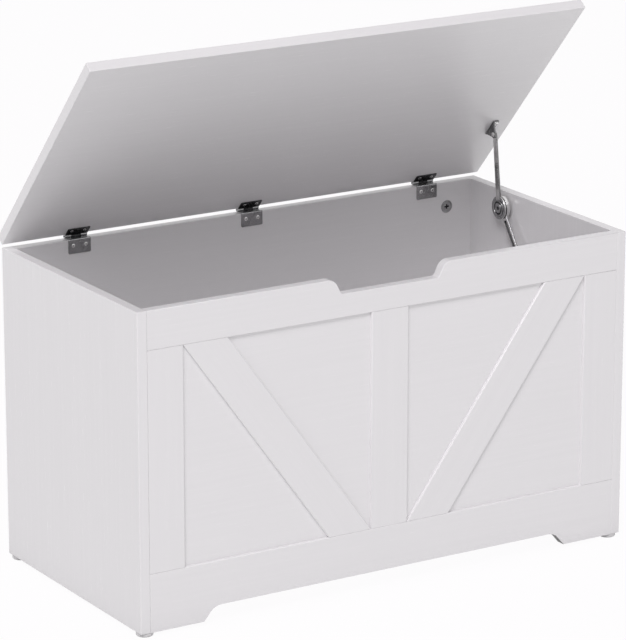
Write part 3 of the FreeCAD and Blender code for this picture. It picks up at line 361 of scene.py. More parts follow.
class TrunkStage(bpy.types.PropertyGroup):
    """Camera, light and floor."""
    azimuth: angle("Azimuth", -31.72, "Camera round the trunk")
    elevation: angle("Elevation", 16.2, "Camera above the horizon")
    distance: length("Distance", 5398.5, "Camera from its target")
    target_x: length("Target, across", -5.61, "Camera's target across the trunk")
    target_z: length("Target, height", 340.66, "Camera's target above the floor")
    focal: FloatProperty(name="Focal length", description="Camera's lens", default=214.61, unit="CAMERA")
    sight: length("Sight", 100000, "Farthest that the camera sees")
    lamp: FloatVectorProperty(
        name="Lamp", description="Place of the soft box", default=(-4.6, -5.2, 9.0), size=3, unit="LENGTH",
    )
    lamp_aim: length("Lamp aim", 300, "Height that the soft box is turned to")
    lamp_size: length("Lamp size", 4800, "Sides of the soft box")
    lamp_power: FloatProperty(name="Lamp power", description="Power of the lamp", default=800, unit="POWER")
    floor: length("Floor", 30000, "Radius of the floor")
    floor_border: length("Floor border", 20000, "Outer ring of the floor")
    ambient: share("Ambient", 0.49, "Light from all round at the horizon")
    ambient_above: share("Ambient, above", 0.17, "Light from straight above")
    floor_white: share("Floor white", 0.97, "Share of plain white in the floor that the camera sees")
    floor_glow: share("Floor glow", 0.77, "Share of plain white in the floor that lights the trunk")
    # Edge of the shadow painted into the floor's glow round the trunk
    floor_painted_shadow: length("Floor painted shadow", 45, "Edge of the floor's shade round the trunk")


GROUPS = {
    "trunk_boards": TrunkBoards,
    "trunk_hinges": TrunkHinges,
    "trunk_stay": TrunkStay,
    "trunk_fittings": TrunkFittings,
    "trunk_colours": TrunkColours,
    "trunk_stage": TrunkStage,
}


class Value:
    """A shader socket that takes part in sums as a number does."""

    def __init__(self, finish, socket):
        self.finish = finish
        self.socket = socket

    def sum(self, operation, first, second):
        return self.finish.node("ShaderNodeMath", {"operation": operation}, {0: first, 1: second})

    def __add__(self, other):
        return self.sum("ADD", self, other)

    def __radd__(self, other):
        return self.sum("ADD", other, self)

    def __sub__(self, other):
        return self.sum("SUBTRACT", self, other)

    def __rsub__(self, other):
        return self.sum("SUBTRACT", other, self)

    def __mul__(self, other):
        return self.sum("MULTIPLY", self, other)

    def __rmul__(self, other):
        return self.sum("MULTIPLY", other, self)


class Finish:
    """A material, or the world, that is put together from nodes."""

    def __init__(self, name, library=bpy.data.materials):
        self.owner = library.new(name)
        self.owner.use_nodes = True
        self.tree = self.owner.node_tree
        self.tree.nodes.clear()

    def node(self, kind, settings=None, sockets=None, output=0):
        """Adds a node: its settings first, then the values or links of its sockets."""
        node = self.tree.nodes.new(kind)
        for name, value in (settings or {}).items():
            if name == "stops":
                for stop, (position, level) in zip(node.color_ramp.elements, value):
                    stop.position = position
                    stop.color = (level, level, level, 1)
            else:
                setattr(node, name, value)
        for name, value in (sockets or {}).items():
            socket = node.inputs[name]
            if isinstance(value, Value):
                self.tree.links.new(value.socket, socket)
            elif socket.type == "RGBA" and len(value) == 3:
                socket.default_value = (*value, 1)
            else:
                socket.default_value = value
        return Value(self, node.outputs[output]) if node.outputs else None

    def place(self, scale, turn=(0, 0, 0)):
        """Object coordinates, turned and then stretched."""
        where = self.node("ShaderNodeTexCoord", output="Object")
        turned = self.node("ShaderNodeMapping", None, {"Vector": where, "Rotation": turn})
        return self.node("ShaderNodeMapping", None, {"Vector": turned, "Scale": scale})

    def noise(self, place, scale, detail, roughness):
        """Soft noise around one half."""
        sockets = {"Vector": place, "Scale": scale, "Detail": detail, "Roughness": roughness}
        return self.node("ShaderNodeTexNoise", None, sockets)

    def ramp(self, value, low, high):
        """A value spread between two levels."""
        return self.node("ShaderNodeValToRGB", {"stops": [(low, 0), (high, 1)]}, {"Fac": value})

    def mix(self, factor, first, second):
        """A colour between two others."""
        settings = {"data_type": "RGBA"}
        return self.node("ShaderNodeMix", settings, {0: factor, 6: first, 7: second}, output=2)

    def bump(self, height, strength, distance):
        """Small relief for the shader's normal."""
        sockets = {"Height": height, "Strength": strength, "Distance": distance}
        return self.node("ShaderNodeBump", None, sockets)

    def close(self, **sockets):
        """Ends the material with one surface shader."""
        named = {name.replace("_", " "): value for name, value in sockets.items()}
        shader = self.node("ShaderNodeBsdfPrincipled", None, named)
        self.node("ShaderNodeOutputMaterial", None, {"Surface": shader})
        return self.owner


def tint(name):
    """A colour of the trunk by its name."""
    return tuple(getattr(bpy.context.scene.trunk_colours, name))


def foil(name, turn):
    """Satin white foil with faint streaks and fine embossed pores along its grain."""
    finish = Finish(name)
    streaks = finish.noise(finish.place(STREAKS, turn), scale=3.0, detail=4.0, roughness=0.55)
    pores = finish.noise(finish.place(PORES, turn), scale=3.0, detail=2.0, roughness=0.6)
    clouds = finish.noise(finish.place(CLOUDS, turn), scale=1.5, detail=2.0, roughness=0.5)
    tone = finish.ramp(streaks * 0.7 + clouds * 0.3, low=0.32, high=0.72)
    pits = finish.ramp(pores, low=0.30, high=0.46)
    base = finish.mix(tone, tint("foil_streak"), tint("foil"))
    rough = 0.25 - 0.05 * pits + 0.05 * streaks
    relief = finish.bump(pits * 0.6 + streaks * 0.6, strength=0.12, distance=0.0004)
    return finish.close(Base_Color=base, Roughness=rough, Normal=relief)


def metal(name, bright, dull, roughness, spread, stretch, relief):
    """Metal with fine drawn lines and duller patches."""
    finish = Finish(name)
    lines = finish.noise(finish.place(stretch), scale=1.0, detail=3.0, roughness=0.6)
    patches = finish.noise(finish.place(PATCHES), scale=1.0, detail=3.0, roughness=0.6)
    wear = finish.ramp(patches * 0.6 + lines * 0.4, low=0.36, high=0.66)
    base = finish.mix(wear, tint(dull), tint(bright))
    rough = roughness + spread * (1 - wear)
    normal = finish.bump(lines, strength=relief, distance=0.0002)
    return finish.close(Base_Color=base, Roughness=rough, Metallic=1.0, Normal=normal)


def matt(name, light, dark, roughness, stretch, relief):
    """Matt plastic, wood, or the painted shade on the arch's cut edge, with a fine grain."""
    finish = Finish(name)
    grain = finish.noise(finish.place(stretch), scale=1.0, detail=4.0, roughness=0.6)
    tone = finish.ramp(grain, low=0.35, high=0.65)
    base = finish.mix(tone, tint(dark), tint(light))
    rough = roughness + 0.08 * tone
    normal = finish.bump(grain, strength=relief, distance=0.0003)
    return finish.close(Base_Color=base, Roughness=rough, Normal=normal)


FINISHES = {}


def make_finishes():
    """Makes each finish once."""
    low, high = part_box("right_brace")
    slope = math.atan2(high.z - low.z, high.x - low.x - bpy.context.scene.trunk_boards.brace_cut)
    turns = {"across": 0, "upright": math.pi / 2, "left_brace": -slope, "right_brace": slope}
    for name, turn in turns.items():
        FINISHES[f"foil_{name}"] = foil(f"white_foil_{name}", (0, turn, 0))
    for name, settings in METALS.items():
        FINISHES[name] = metal(*settings)
    for name, settings in MATTS.items():
        FINISHES[name] = matt(*settings)


def clear_selection():
    """Leaves edit mode and selects nothing."""
    if bpy.context.object and bpy.context.object.mode != "OBJECT":
        bpy.ops.object.mode_set(mode="OBJECT")
    bpy.ops.object.select_all(action="DESELECT")


def pick(*items):
    """Selects these objects, the first of them active."""
    clear_selection()
    for item in items:
        item.select_set(True)
    bpy.context.view_layer.objects.active = items[0]


def begin(name):
    """Names the object that a primitive has just made and starts to edit it."""
    piece = bpy.context.object
    piece.name = name
    piece.data.name = name
    bpy.ops.object.mode_set(mode="EDIT")
    return piece


def choose(piece, kind, test):
    """Selects the points or edges that pass a test, and nothing else."""
    bpy.ops.mesh.select_mode(type=kind)
    bpy.ops.mesh.select_all(action="DESELECT")
    mesh = bmesh.from_edit_mesh(piece.data)
    chosen = [item for item in {"VERT": mesh.verts, "EDGE": mesh.edges}[kind] if test(item)]
    if not chosen:
        raise RuntimeError(f"nothing to select on {piece.name}")
    for item in chosen:
        item.select_set(True)
    mesh.select_flush_mode()
    bmesh.update_edit_mesh(piece.data)


def outwards():
    """Turns all faces of the mesh that is being edited outwards."""
    bpy.ops.mesh.select_all(action="SELECT")
    bpy.ops.mesh.remove_doubles(threshold=WELD)
    bpy.ops.mesh.normals_make_consistent(inside=False)


def ease(edge, steps=EDGE_STEPS):
    """Rounds all sharp edges of the mesh that is being edited."""
    bpy.ops.mesh.select_mode(type="EDGE")
    bpy.ops.mesh.select_all(action="DESELECT")
    bpy.ops.mesh.edges_select_sharp(sharpness=SHARP)
    bpy.ops.mesh.bevel(offset=edge, segments=steps, affect="EDGES", clamp_overlap=True)


def ease_chosen(piece, edge, test, steps=CORNER_STEPS):
    """Rounds the edges that pass a test."""
    choose(piece, "EDGE", test)
    bpy.ops.mesh.bevel(offset=edge, segments=steps, affect="EDGES", clamp_overlap=True)


def is_along(edge, axis):
    """True for an edge that runs along an axis."""
    way = (edge.verts[1].co - edge.verts[0].co).normalized()
    return abs(way.dot(axis)) > ALONG


def ease_trim(piece, edge, test):
    """Rounds the edges of a trim board's front face: those that pass a test well, its seams a little."""
    front = min(point.co.y for point in bmesh.from_edit_mesh(piece.data).verts)

    def free(item):
        return max(point.co.y for point in item.verts) < front + NEAR and item.calc_face_angle(0) > SHARP

    ease_chosen(piece, edge, lambda item: free(item) and test(item), EDGE_STEPS)
    ease_chosen(piece, bpy.context.scene.trunk_boards.seam, free, 1)


def block(name, low, high):
    """Starts a board from a cube at its size and place."""
    clear_selection()
    bpy.ops.mesh.primitive_cube_add(size=1, location=(low + high) / 2, scale=high - low)
    bpy.ops.object.transform_apply(location=True, rotation=True, scale=True)
    return begin(name)


def across(axis, along, sideways, level):
    """The point of a flat outline on the plane that an axis names."""
    return Vector({
        "X": (level, along, sideways),
        "Y": (along, level, sideways),
        "Z": (along, sideways, level),
    }[axis])


def profile(name, axis, corners, start, end, rounds=()):
    """Draws an outline with a ring's points, rounds some corners and extrudes it along an axis."""
    clear_selection()
    bpy.ops.mesh.primitive_circle_add(vertices=len(corners), radius=1, fill_type="NGON")
    piece = begin(name)
    for number, corner in enumerate(corners):
        choose(piece, "VERT", lambda point: point.index == number)
        point = bmesh.from_edit_mesh(piece.data).verts
        point.ensure_lookup_table()
        bpy.ops.transform.translate(value=across(axis, *corner, start) - point[number].co)
    for radius, numbers in rounds:
        for number in numbers:
            round_corner(piece, axis, corners, number, radius, start)
    bpy.ops.mesh.select_all(action="SELECT")
    bpy.ops.mesh.extrude_region_move(TRANSFORM_OT_translate={"value": across(axis, 0, 0, end - start)})
    outwards()
    return piece


def round_corner(piece, axis, corners, number, radius, level):
    """Rounds one corner of a flat outline to a radius."""
    here = Vector(corners[number])
    before = (Vector(corners[number - 1]) - here).normalized()
    after = (Vector(corners[(number + 1) % len(corners)]) - here).normalized()
    reach = radius / math.tan(before.angle(after) / 2)
    place = across(axis, *here, level)
    choose(piece, "VERT", lambda point: (point.co - place).length < NEAR)
    bpy.ops.mesh.bevel(offset=reach, segments=CORNER_STEPS, affect="VERTICES", clamp_overlap=False)


def turned(name, centre, direction, rings, steps=ROUND_STEPS):
    """Turns a round piece: a disc that is extruded and resized from ring to ring of (radius, height)."""
    clear_selection()
    radius, height = rings[0]
    bpy.ops.mesh.primitive_circle_add(vertices=steps, radius=radius, fill_type="NGON")
    piece = begin(name)
    bpy.ops.transform.translate(value=(0, 0, height))
    for wider, higher in rings[1:]:
        bpy.ops.mesh.extrude_region_move(TRANSFORM_OT_translate={"value": (0, 0, higher - height)})
        size = wider / radius
        bpy.ops.transform.resize(value=(size, size, 1), center_override=(0, 0, higher))
        radius, height = wider, higher
    outwards()
    place(piece, Matrix.Translation(centre) @ facing(direction))
    return piece


def facing(direction):
    """Turns what is drawn upwards to face a direction."""
    return UP.rotation_difference(direction).to_matrix().to_4x4()


def soft_ends(radius, soft, start, end):
    """Rings of a round bar with eased ends."""
    return [(radius - soft, start), (radius, start + soft), (radius, end - soft), (radius - soft, end)]


def scaled(shares, radius, height, level=0):
    """Rings from shares of a radius and of a height above a level."""
    return [(radius * wide, level + height * high) for wide, high in shares]


def like_ends(shares, radius, height, start, end, middle=()):
    """Rings of a round bar with like ends, which are given as shares."""
    return [*scaled(shares, radius, height, start), *middle, *scaled(shares[::-1], radius, -height, end)]


def stepped(shares, radius, level, soft):
    """Rings along an edge, from shares of its softness outwards and upwards."""
    return [(radius + soft * out, level + soft * high) for out, high in shares]


def rounded_rim(radius, rim, level):
    """Rings of a rim that is rounded up to a radius."""
    steps = [math.pi / 2 * number / RIM_STEPS for number in range(RIM_STEPS + 1)]
    return [(radius - rim + rim * math.sin(step), level + rim - rim * math.cos(step)) for step in steps]


def place(piece, matrix):
    """Moves a piece and puts its place into its mesh."""
    pick(piece)
    piece.matrix_world = matrix
    bpy.ops.object.transform_apply(location=True, rotation=True, scale=True)


def join_solids(piece, other, operation):
    """Adds another solid to a piece, or cuts it away, and removes the other."""
    pick(piece)
    modifier = piece.modifiers.new(operation.lower(), "BOOLEAN")
    modifier.operation = operation
    modifier.solver = "EXACT"
    modifier.object = other
    bpy.ops.object.modifier_apply(modifier=modifier.name)
    bpy.data.objects.remove(other)
    return piece


def copies(piece, name, matrices):
    """Copies a piece to several places and joins the copies into one piece."""
    made = []
    for matrix in matrices:
        pick(piece)
        bpy.ops.object.duplicate(linked=False)
        twin = bpy.context.object
        place(twin, matrix)
        made.append(twin)
    bpy.data.objects.remove(piece)
    pick(*made)
    bpy.ops.object.join()
    whole = bpy.context.object
    whole.name = name
    whole.data.name = name
    return whole


def lid_opened():
    """Turns what is drawn with the lid closed about the hinge axis to the open lid."""
    return Matrix.Translation(HINGE_AXIS) @ Matrix.Rotation(LID_ANGLE, 4, "X")


def under_lid(spot):
    """Puts what is drawn upwards under the lid, at a place that is given with the lid closed."""
    return lid_opened() @ Matrix.Translation(spot) @ Matrix.Rotation(math.pi, 4, "X")


def paint(piece, finish, **others):
    """Gives a piece its finish, and others to the faces whose middles pass their tests."""
    pick(piece)
    piece.data.materials.append(FINISHES[finish])
    for number, (name, test) in enumerate(others.items(), 1):
        piece.data.materials.append(FINISHES[name])
        for face in piece.data.polygons:
            if test(face.center):
                face.material_index = number
    return piece


def hand_over(piece, body, slot, *nodes):
    """Cleans and smooths a painted piece and puts it on its body in place of its nodes."""
    pick(piece)
    bpy.ops.object.mode_set(mode="EDIT")
    bpy.ops.mesh.select_all(action="SELECT")
    bpy.ops.mesh.remove_doubles(threshold=MERGE)
    bpy.ops.mesh.dissolve_degenerate(threshold=MERGE)
    bpy.ops.object.mode_set(mode="OBJECT")
    bpy.ops.object.shade_smooth_by_angle(angle=SMOOTH)
    weights = piece.modifiers.new("weights", "WEIGHTED_NORMAL")
    weights.keep_sharp = True
    bpy.ops.object.modifier_apply(modifier=weights.name)
    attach(piece, body)
    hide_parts(*nodes)


def notch(sizes, top):
    """Hand notch in a top edge, from right to left."""
    return [
        (sizes.notch_top / 2, top), (sizes.notch_bottom / 2, top - sizes.notch_depth),
        (-sizes.notch_bottom / 2, top - sizes.notch_depth), (-sizes.notch_top / 2, top),
    ]


def arch(sizes, low):
    """Arch in a bottom edge, from left to right."""
    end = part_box("right_side_panel")[1].x - sizes.arch_foot
    high = low + sizes.arch_height
    return [(-end, low), (sizes.arch_run - end, high), (end - sizes.arch_run, high), (end, low)]


def arch_test(sizes):
    """A test for places on the arch's cut edge, which take painted shade."""
    start, rise = arch(sizes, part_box("bottom_rail")[0].z)[:2]
    return lambda spot: abs(spot.x) < -start[0] and spot.z < rise[1] + NEAR


def cam_places(node):
    """Middles of the cams of a node, at their outer faces."""
    low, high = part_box(node)
    radius = bpy.context.scene.trunk_fittings.cam
    places = []
    for x in (low.x + radius, high.x - radius):
        if node == "cam_locks_bottom":
            places += [Vector((x, low.y + radius, low.z)), Vector((x, high.y - radius, low.z))]
        else:
            face = low.y if node == "cam_locks_rear" else high.y
            places += [Vector((x, face, low.z + radius)), Vector((x, face, high.z - radius))]
    return places


def bore_cams(piece, node):
    """Bores the round holes for a node's cams."""
    sizes = bpy.context.scene.trunk_boards
    rings = [(sizes.cam_hole, -sizes.cam_depth), (sizes.cam_hole, sizes.cam_depth)]
    for spot in cam_places(node):
        join_solids(piece, turned("cam_hole", spot, CAM_FACES[node], rings), "DIFFERENCE")


class TRUNK_OT_side_panels(bpy.types.Operator):
    """Full-depth side boards with eased edges"""
    bl_idname = "trunk.side_panels"
    bl_label = "Side panels"

    def execute(self, context):
        for node in ("left_side_panel", "right_side_panel"):
            piece = block(f"{node}_board", *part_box(node))
            ease(context.scene.trunk_boards.edge)
            hand_over(paint(piece, "foil_upright"), CHEST, "white_board", node)
        return {"FINISHED"}


class TRUNK_OT_inner_panels(bpy.types.Operator):
    """Rear and bottom boards, bored for their cams and eased where their edges are free"""
    bl_idname = "trunk.inner_panels"
    bl_label = "Rear and bottom panels"

    def execute(self, context):
        sizes = context.scene.trunk_boards
        low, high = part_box("rear_panel")
        piece = block("rear_panel_board", low, high)
        ease_chosen(piece, sizes.edge, lambda edge: is_along(edge, RIGHT), EDGE_STEPS)
        ease_chosen(piece, sizes.seam, lambda edge: (
            is_along(edge, UP) and edge.verts[0].co.y > high.y - NEAR), 1)
        bore_cams(piece, "cam_locks_rear")
        hand_over(paint(piece, "foil_across"), CHEST, "white_board", "rear_panel")
        low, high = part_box("bottom_panel")
        piece = block("bottom_panel_board", low, high)
        ease_chosen(piece, sizes.seam, lambda edge: (
            max(point.co.z for point in edge.verts) < low.z + NEAR), 1)
        bore_cams(piece, "cam_locks_bottom")
        hand_over(paint(piece, "foil_across"), CHEST, "white_board", "bottom_panel")
        return {"FINISHED"}


class TRUNK_OT_front_panel(bpy.types.Operator):
    """Backing board of the front with the hand notch and the arch"""
    bl_idname = "trunk.front_panel"
    bl_label = "Front panel"

    def execute(self, context):
        sizes = context.scene.trunk_boards
        low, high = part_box("front_panel")
        corners = [
            (low.x, low.z), *arch(sizes, low.z), (high.x, low.z),
            (high.x, high.z), *notch(sizes, high.z), (low.x, high.z),
        ]
        rounds = [
            (sizes.arch_round, (2, 3)),
            (sizes.notch_upper_round, (7, 10)),
            (sizes.notch_lower_round, (8, 9)),
        ]
        piece = profile("front_panel_board", "Y", corners, low.y, high.y, rounds)
        ease_chosen(piece, sizes.edge, lambda edge: not is_along(edge, UP) and (
            min(point.co.y for point in edge.verts) > high.y - NEAR), EDGE_STEPS)
        bore_cams(piece, "cam_locks_front")
        # The arch's cut edge takes painted shade
        paint(piece, "foil_across", raw_edge=arch_test(sizes))
        hand_over(piece, CHEST, "white_board", "front_panel")
        return {"FINISHED"}


class TRUNK_OT_rails(bpy.types.Operator):
    """Top rail with the hand notch and bottom rail with the arch"""
    bl_idname = "trunk.rails"
    bl_label = "Rails"

    def execute(self, context):
        sizes = context.scene.trunk_boards
        low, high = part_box("top_rail")
        corners = [
            (low.x, low.z), (high.x, low.z), (high.x, high.z), *notch(sizes, high.z), (low.x, high.z),
        ]
        rounds = [(sizes.notch_upper_round, (3, 6)), (sizes.notch_lower_round, (4, 5))]
        piece = profile("top_rail_trim", "Y", corners, low.y, high.y, rounds)
        ease_trim(piece, sizes.edge, lambda edge: not is_along(edge, UP))
        hand_over(paint(piece, "foil_across"), CHEST, "white_trim", "top_rail")
        low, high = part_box("bottom_rail")
        corners = [
            (low.x, low.z), *arch(sizes, low.z), (high.x, low.z), (high.x, high.z), (low.x, high.z),
        ]
        piece = profile("bottom_rail_trim", "Y", corners, low.y, high.y, [(sizes.arch_round, (2, 3))])
        ease_trim(piece, sizes.trim_edge, lambda edge: (
            min(point.co.z for point in edge.verts) > high.z - NEAR))
        # The arch's cut edge takes painted shade
        paint(piece, "foil_across", raw_edge=arch_test(sizes))
        hand_over(piece, CHEST, "white_trim", "bottom_rail")
        return {"FINISHED"}


class TRUNK_OT_stiles(bpy.types.Operator):
    """Upright trim boards of the front"""
    bl_idname = "trunk.stiles"
    bl_label = "Stiles"

    def execute(self, context):
        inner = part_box("right_stile")[0].x
        for node in ("left_stile", "centre_stile", "right_stile"):
            piece = block(f"{node}_trim", *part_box(node))
            ease_trim(piece, context.scene.trunk_boards.trim_edge, lambda edge: (
                is_along(edge, UP) and abs(edge.verts[0].co.x) < inner + NEAR))
            hand_over(paint(piece, "foil_upright"), CHEST, "white_trim", node)
        return {"FINISHED"}


class TRUNK_OT_braces(bpy.types.Operator):
    """Diagonal trim boards of the front"""
    bl_idname = "trunk.braces"
    bl_label = "Braces"

    def execute(self, context):
        sizes = context.scene.trunk_boards
        for node, side in (("left_brace", -1), ("right_brace", 1)):
            low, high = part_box(node)
            inner, outer = (low.x, high.x) if side > 0 else (high.x, low.x)
            corners = [
                (inner, low.z), (inner + side * sizes.brace_cut, low.z),
                (outer, high.z), (outer - side * sizes.brace_cut, high.z),
            ]
            piece = profile(f"{node}_trim", "Y", corners, low.y, high.y)
            ease_trim(piece, sizes.trim_edge, lambda edge: not is_along(edge, RIGHT))
            hand_over(paint(piece, f"foil_{node}"), CHEST, "white_trim", node)
        return {"FINISHED"}


class TRUNK_OT_lid(bpy.types.Operator):
    """Flat lid with eased edges, rounder along its upper rear edge"""
    bl_idname = "trunk.lid"
    bl_label = "Lid"

    def execute(self, context):
        sizes = context.scene.trunk_boards
        hinges = context.scene.trunk_hinges
        low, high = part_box("lid_panel")
        bottom = Vector((low.x, -hinges.setback - sizes.lid_depth, hinges.under))
        top = Vector((high.x, -hinges.setback, hinges.under + sizes.lid_thickness))
        piece = block("lid_board", bottom, top)
        ease_chosen(piece, sizes.lid_rear, lambda edge: all(
            (point.co.yz - top.yz).length < NEAR for point in edge.verts))
        ease(sizes.edge)
        place(piece, lid_opened())
        hand_over(paint(piece, "foil_across"), LID, "white_board", "lid_panel")
        return {"FINISHED"}


def hinge_middle(side):
    """Middle of a hinge along the hinge axis."""
    low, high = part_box(f"{side}_hinge_pin")
    return Vector(((low.x + high.x) / 2, HINGE_AXIS.y, HINGE_AXIS.z))


class TRUNK_OT_hinges(bpy.types.Operator):
    """Three hinges: rear leaf, lid leaf and pin"""
    bl_idname = "trunk.hinges"
    bl_label = "Hinges"

    def execute(self, context):
        sizes = context.scene.trunk_hinges
        end = sizes.width / 2 + sizes.pin_stub
        rings = like_ends(PIN_END, sizes.pin, sizes.pin, -end, end)
        for side in HINGES:
            middle = Matrix.Translation(hinge_middle(side))
            piece = self.rear_leaf(sizes, f"{side}_rear_leaf")
            place(piece, middle)
            hand_over(paint(piece, "steel"), CHEST, "dark_steel", f"{side}_hinge_rear_leaf")
            piece = self.lid_leaf(sizes, f"{side}_lid_leaf")
            place(piece, middle @ Matrix.Rotation(LID_ANGLE, 4, "X"))
            # The lid leaf is the hinge steel darkened with painted shade
            hand_over(paint(piece, "dark_steel"), LID, "dark_steel", f"{side}_hinge_lid_leaf")
            piece = turned(f"{side}_pin", hinge_middle(side), RIGHT, rings, SMALL_STEPS)
            # The pin is the hinge steel darkened with painted shade
            hand_over(paint(piece, "dark_steel"), CHEST, "dark_steel", f"{side}_hinge_pin")
        return {"FINISHED"}

    def knuckle(self, sizes, start, end):
        """One rolled knuckle about the hinge axis."""
        rings = soft_ends(sizes.barrel, sizes.edge, start, end)
        return turned("knuckle", Vector(), RIGHT, rings, SMALL_STEPS)

    def rear_leaf(self, sizes, name):
        """Bent leaf with two knuckles, drawn about the hinge axis."""
        half = sizes.width / 2
        low = -sizes.rise - sizes.drop
        face = -sizes.wrap - sizes.plate
        top = sizes.plate - sizes.rise
        corners = [
            (0, -sizes.rise), (-sizes.wrap, -sizes.rise), (-sizes.wrap, low),
            (face, low), (face, top), (0, top),
        ]
        piece = profile(name, "X", corners, -half, half, [(sizes.bend, (4,))])
        ease_chosen(piece, sizes.corner, lambda edge: (
            is_along(edge, REAR) and edge.verts[0].co.z < low + NEAR))
        ease(sizes.edge, 2)
        gap = sizes.knuckle / 2 + sizes.gap
        clear = sizes.barrel + sizes.gap
        slot = block("knuckle_gap", Vector((-gap, -clear, -2 * clear)), Vector((gap, clear, clear)))
        ease(sizes.edge, 1)
        join_solids(piece, slot, "DIFFERENCE")
        for ends in ((-half, -gap), (gap, half)):
            join_solids(piece, self.knuckle(sizes, *ends), "UNION")
        return piece

    def lid_leaf(self, sizes, name):
        """Flat leaf with a tongue and one knuckle, drawn as with the lid closed."""
        half, tongue = sizes.width / 2, sizes.knuckle / 2
        front, back = -sizes.setback - sizes.lid_depth, -sizes.setback
        corners = [
            (-half, front), (half, front), (half, back), (tongue, back),
            (tongue, -sizes.tongue), (-tongue, -sizes.tongue), (-tongue, back), (-half, back),
        ]
        low = sizes.under - sizes.plate
        piece = profile(name, "Z", corners, low, sizes.under, [(sizes.corner, (0, 1))])
        ease(sizes.edge, 2)
        return join_solids(piece, self.knuckle(sizes, -tongue, tongue), "UNION")


def cross(width, reach, depth):
    """Cutter for a cross recess, sunk below the origin."""
    low = Vector((-reach, -width / 2, -depth))
    high = Vector((reach, width / 2, reach))
    piece = block("cross", low, high)
    bpy.ops.mesh.select_all(action="SELECT")
    bpy.ops.mesh.bevel(offset=width * CROSS_EDGE, segments=1, affect="EDGES")
    pick(piece)
    bpy.ops.object.duplicate(linked=False)
    arm = bpy.context.object
    place(arm, Matrix.Rotation(math.pi / 2, 4, "Z"))
    return join_solids(piece, arm, "UNION")


class TRUNK_OT_hinge_screws(bpy.types.Operator):
    """Countersunk screws with a cross recess, two in each hinge leaf"""
    bl_idname = "trunk.hinge_screws"
    bl_label = "Hinge screws"

    def execute(self, context):
        sizes = context.scene.trunk_hinges
        low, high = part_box("rear_panel")
        rear = []
        lid = []
        for side in HINGES:
            middle = hinge_middle(side).x
            for number, end in enumerate(SIDES):
                x = middle + end * sizes.screw_spacing / 2
                twist = Matrix.Rotation(middle * SCREW_TWIST + number, 4, "Z")
                spot = Matrix.Translation((x, low.y - sizes.plate, high.z - sizes.rear_screw_drop))
                rear.append(spot @ facing(-REAR) @ twist)
                spot = (x, -sizes.setback - sizes.lid_screw_inset, sizes.under - sizes.plate)
                lid.append(under_lid(spot) @ twist)
        piece = copies(self.screw(sizes), "rear_leaf_screws", rear)
        hand_over(piece, CHEST, "bright_steel", "hinge_screws_rear")
        piece = copies(self.screw(sizes), "lid_leaf_screws", lid)
        hand_over(piece, LID, "bright_steel", "hinge_screws_lid")
        return {"FINISHED"}

    def screw(self, sizes):
        """One screw with its head's rim at the origin and its shank below."""
        head, shank = sizes.screw_head, sizes.screw_shank
        rings = [
            (shank * SCREW_TIP, -sizes.screw_length), (shank, sizes.screw_point - sizes.screw_length),
            (shank, -sizes.plate), *scaled(SUNK_HEAD, head, sizes.screw_dome),
        ]
        piece = turned("hinge_screw", Vector(), UP, rings, SMALL_STEPS)
        width, reach, depth = SUNK_CROSS
        join_solids(piece, cross(head * width, head * reach, head * depth), "DIFFERENCE")
        # Paints shade into the cross recess
        return paint(piece, "bright_steel", hollow=lambda spot: (
            spot.z < 0 and spot.xy.length < head * (reach + CROSS_MARGIN)))


class TRUNK_OT_cams(bpy.types.Operator):
    """Eccentric cams with a rim, a hub and a cross recess"""
    bl_idname = "trunk.cams"
    bl_label = "Cams"

    def execute(self, context):
        sizes = context.scene.trunk_fittings
        depth = context.scene.trunk_boards.cam_depth
        for node, outward in CAM_FACES.items():
            spots = [Matrix.Translation(spot) @ facing(outward) for spot in cam_places(node)]
            piece = copies(self.cam(sizes, depth), node.replace("locks", "discs"), spots)
            hand_over(piece, CHEST, "dark_zinc", node)
        return {"FINISHED"}

    def cam(self, sizes, depth):
        """One cam, face up at the origin."""
        radius, rim, dish, hub = sizes.cam, sizes.cam_rim, sizes.cam_dish, sizes.cam_hub
        soft = rim / 4
        rings = [
            (radius, -depth * CAM_FILL), (radius, -soft), (radius - soft, 0), (radius - rim, 0),
            (radius - rim - soft, -dish), (hub + soft, -dish), (hub, -dish * HUB_EDGE),
            (hub - soft, -soft / 2),
        ]
        piece = turned("cam", Vector(), UP, rings)
        join_solids(piece, cross(sizes.cam_slot, hub * CAM_REACH, sizes.cam_slot_depth), "DIFFERENCE")
        # Paints shade into the cross recess
        return paint(piece, "zinc", hollow=lambda spot: (
            spot.z < -soft and spot.xy.length < hub * (CAM_REACH + CROSS_MARGIN)))


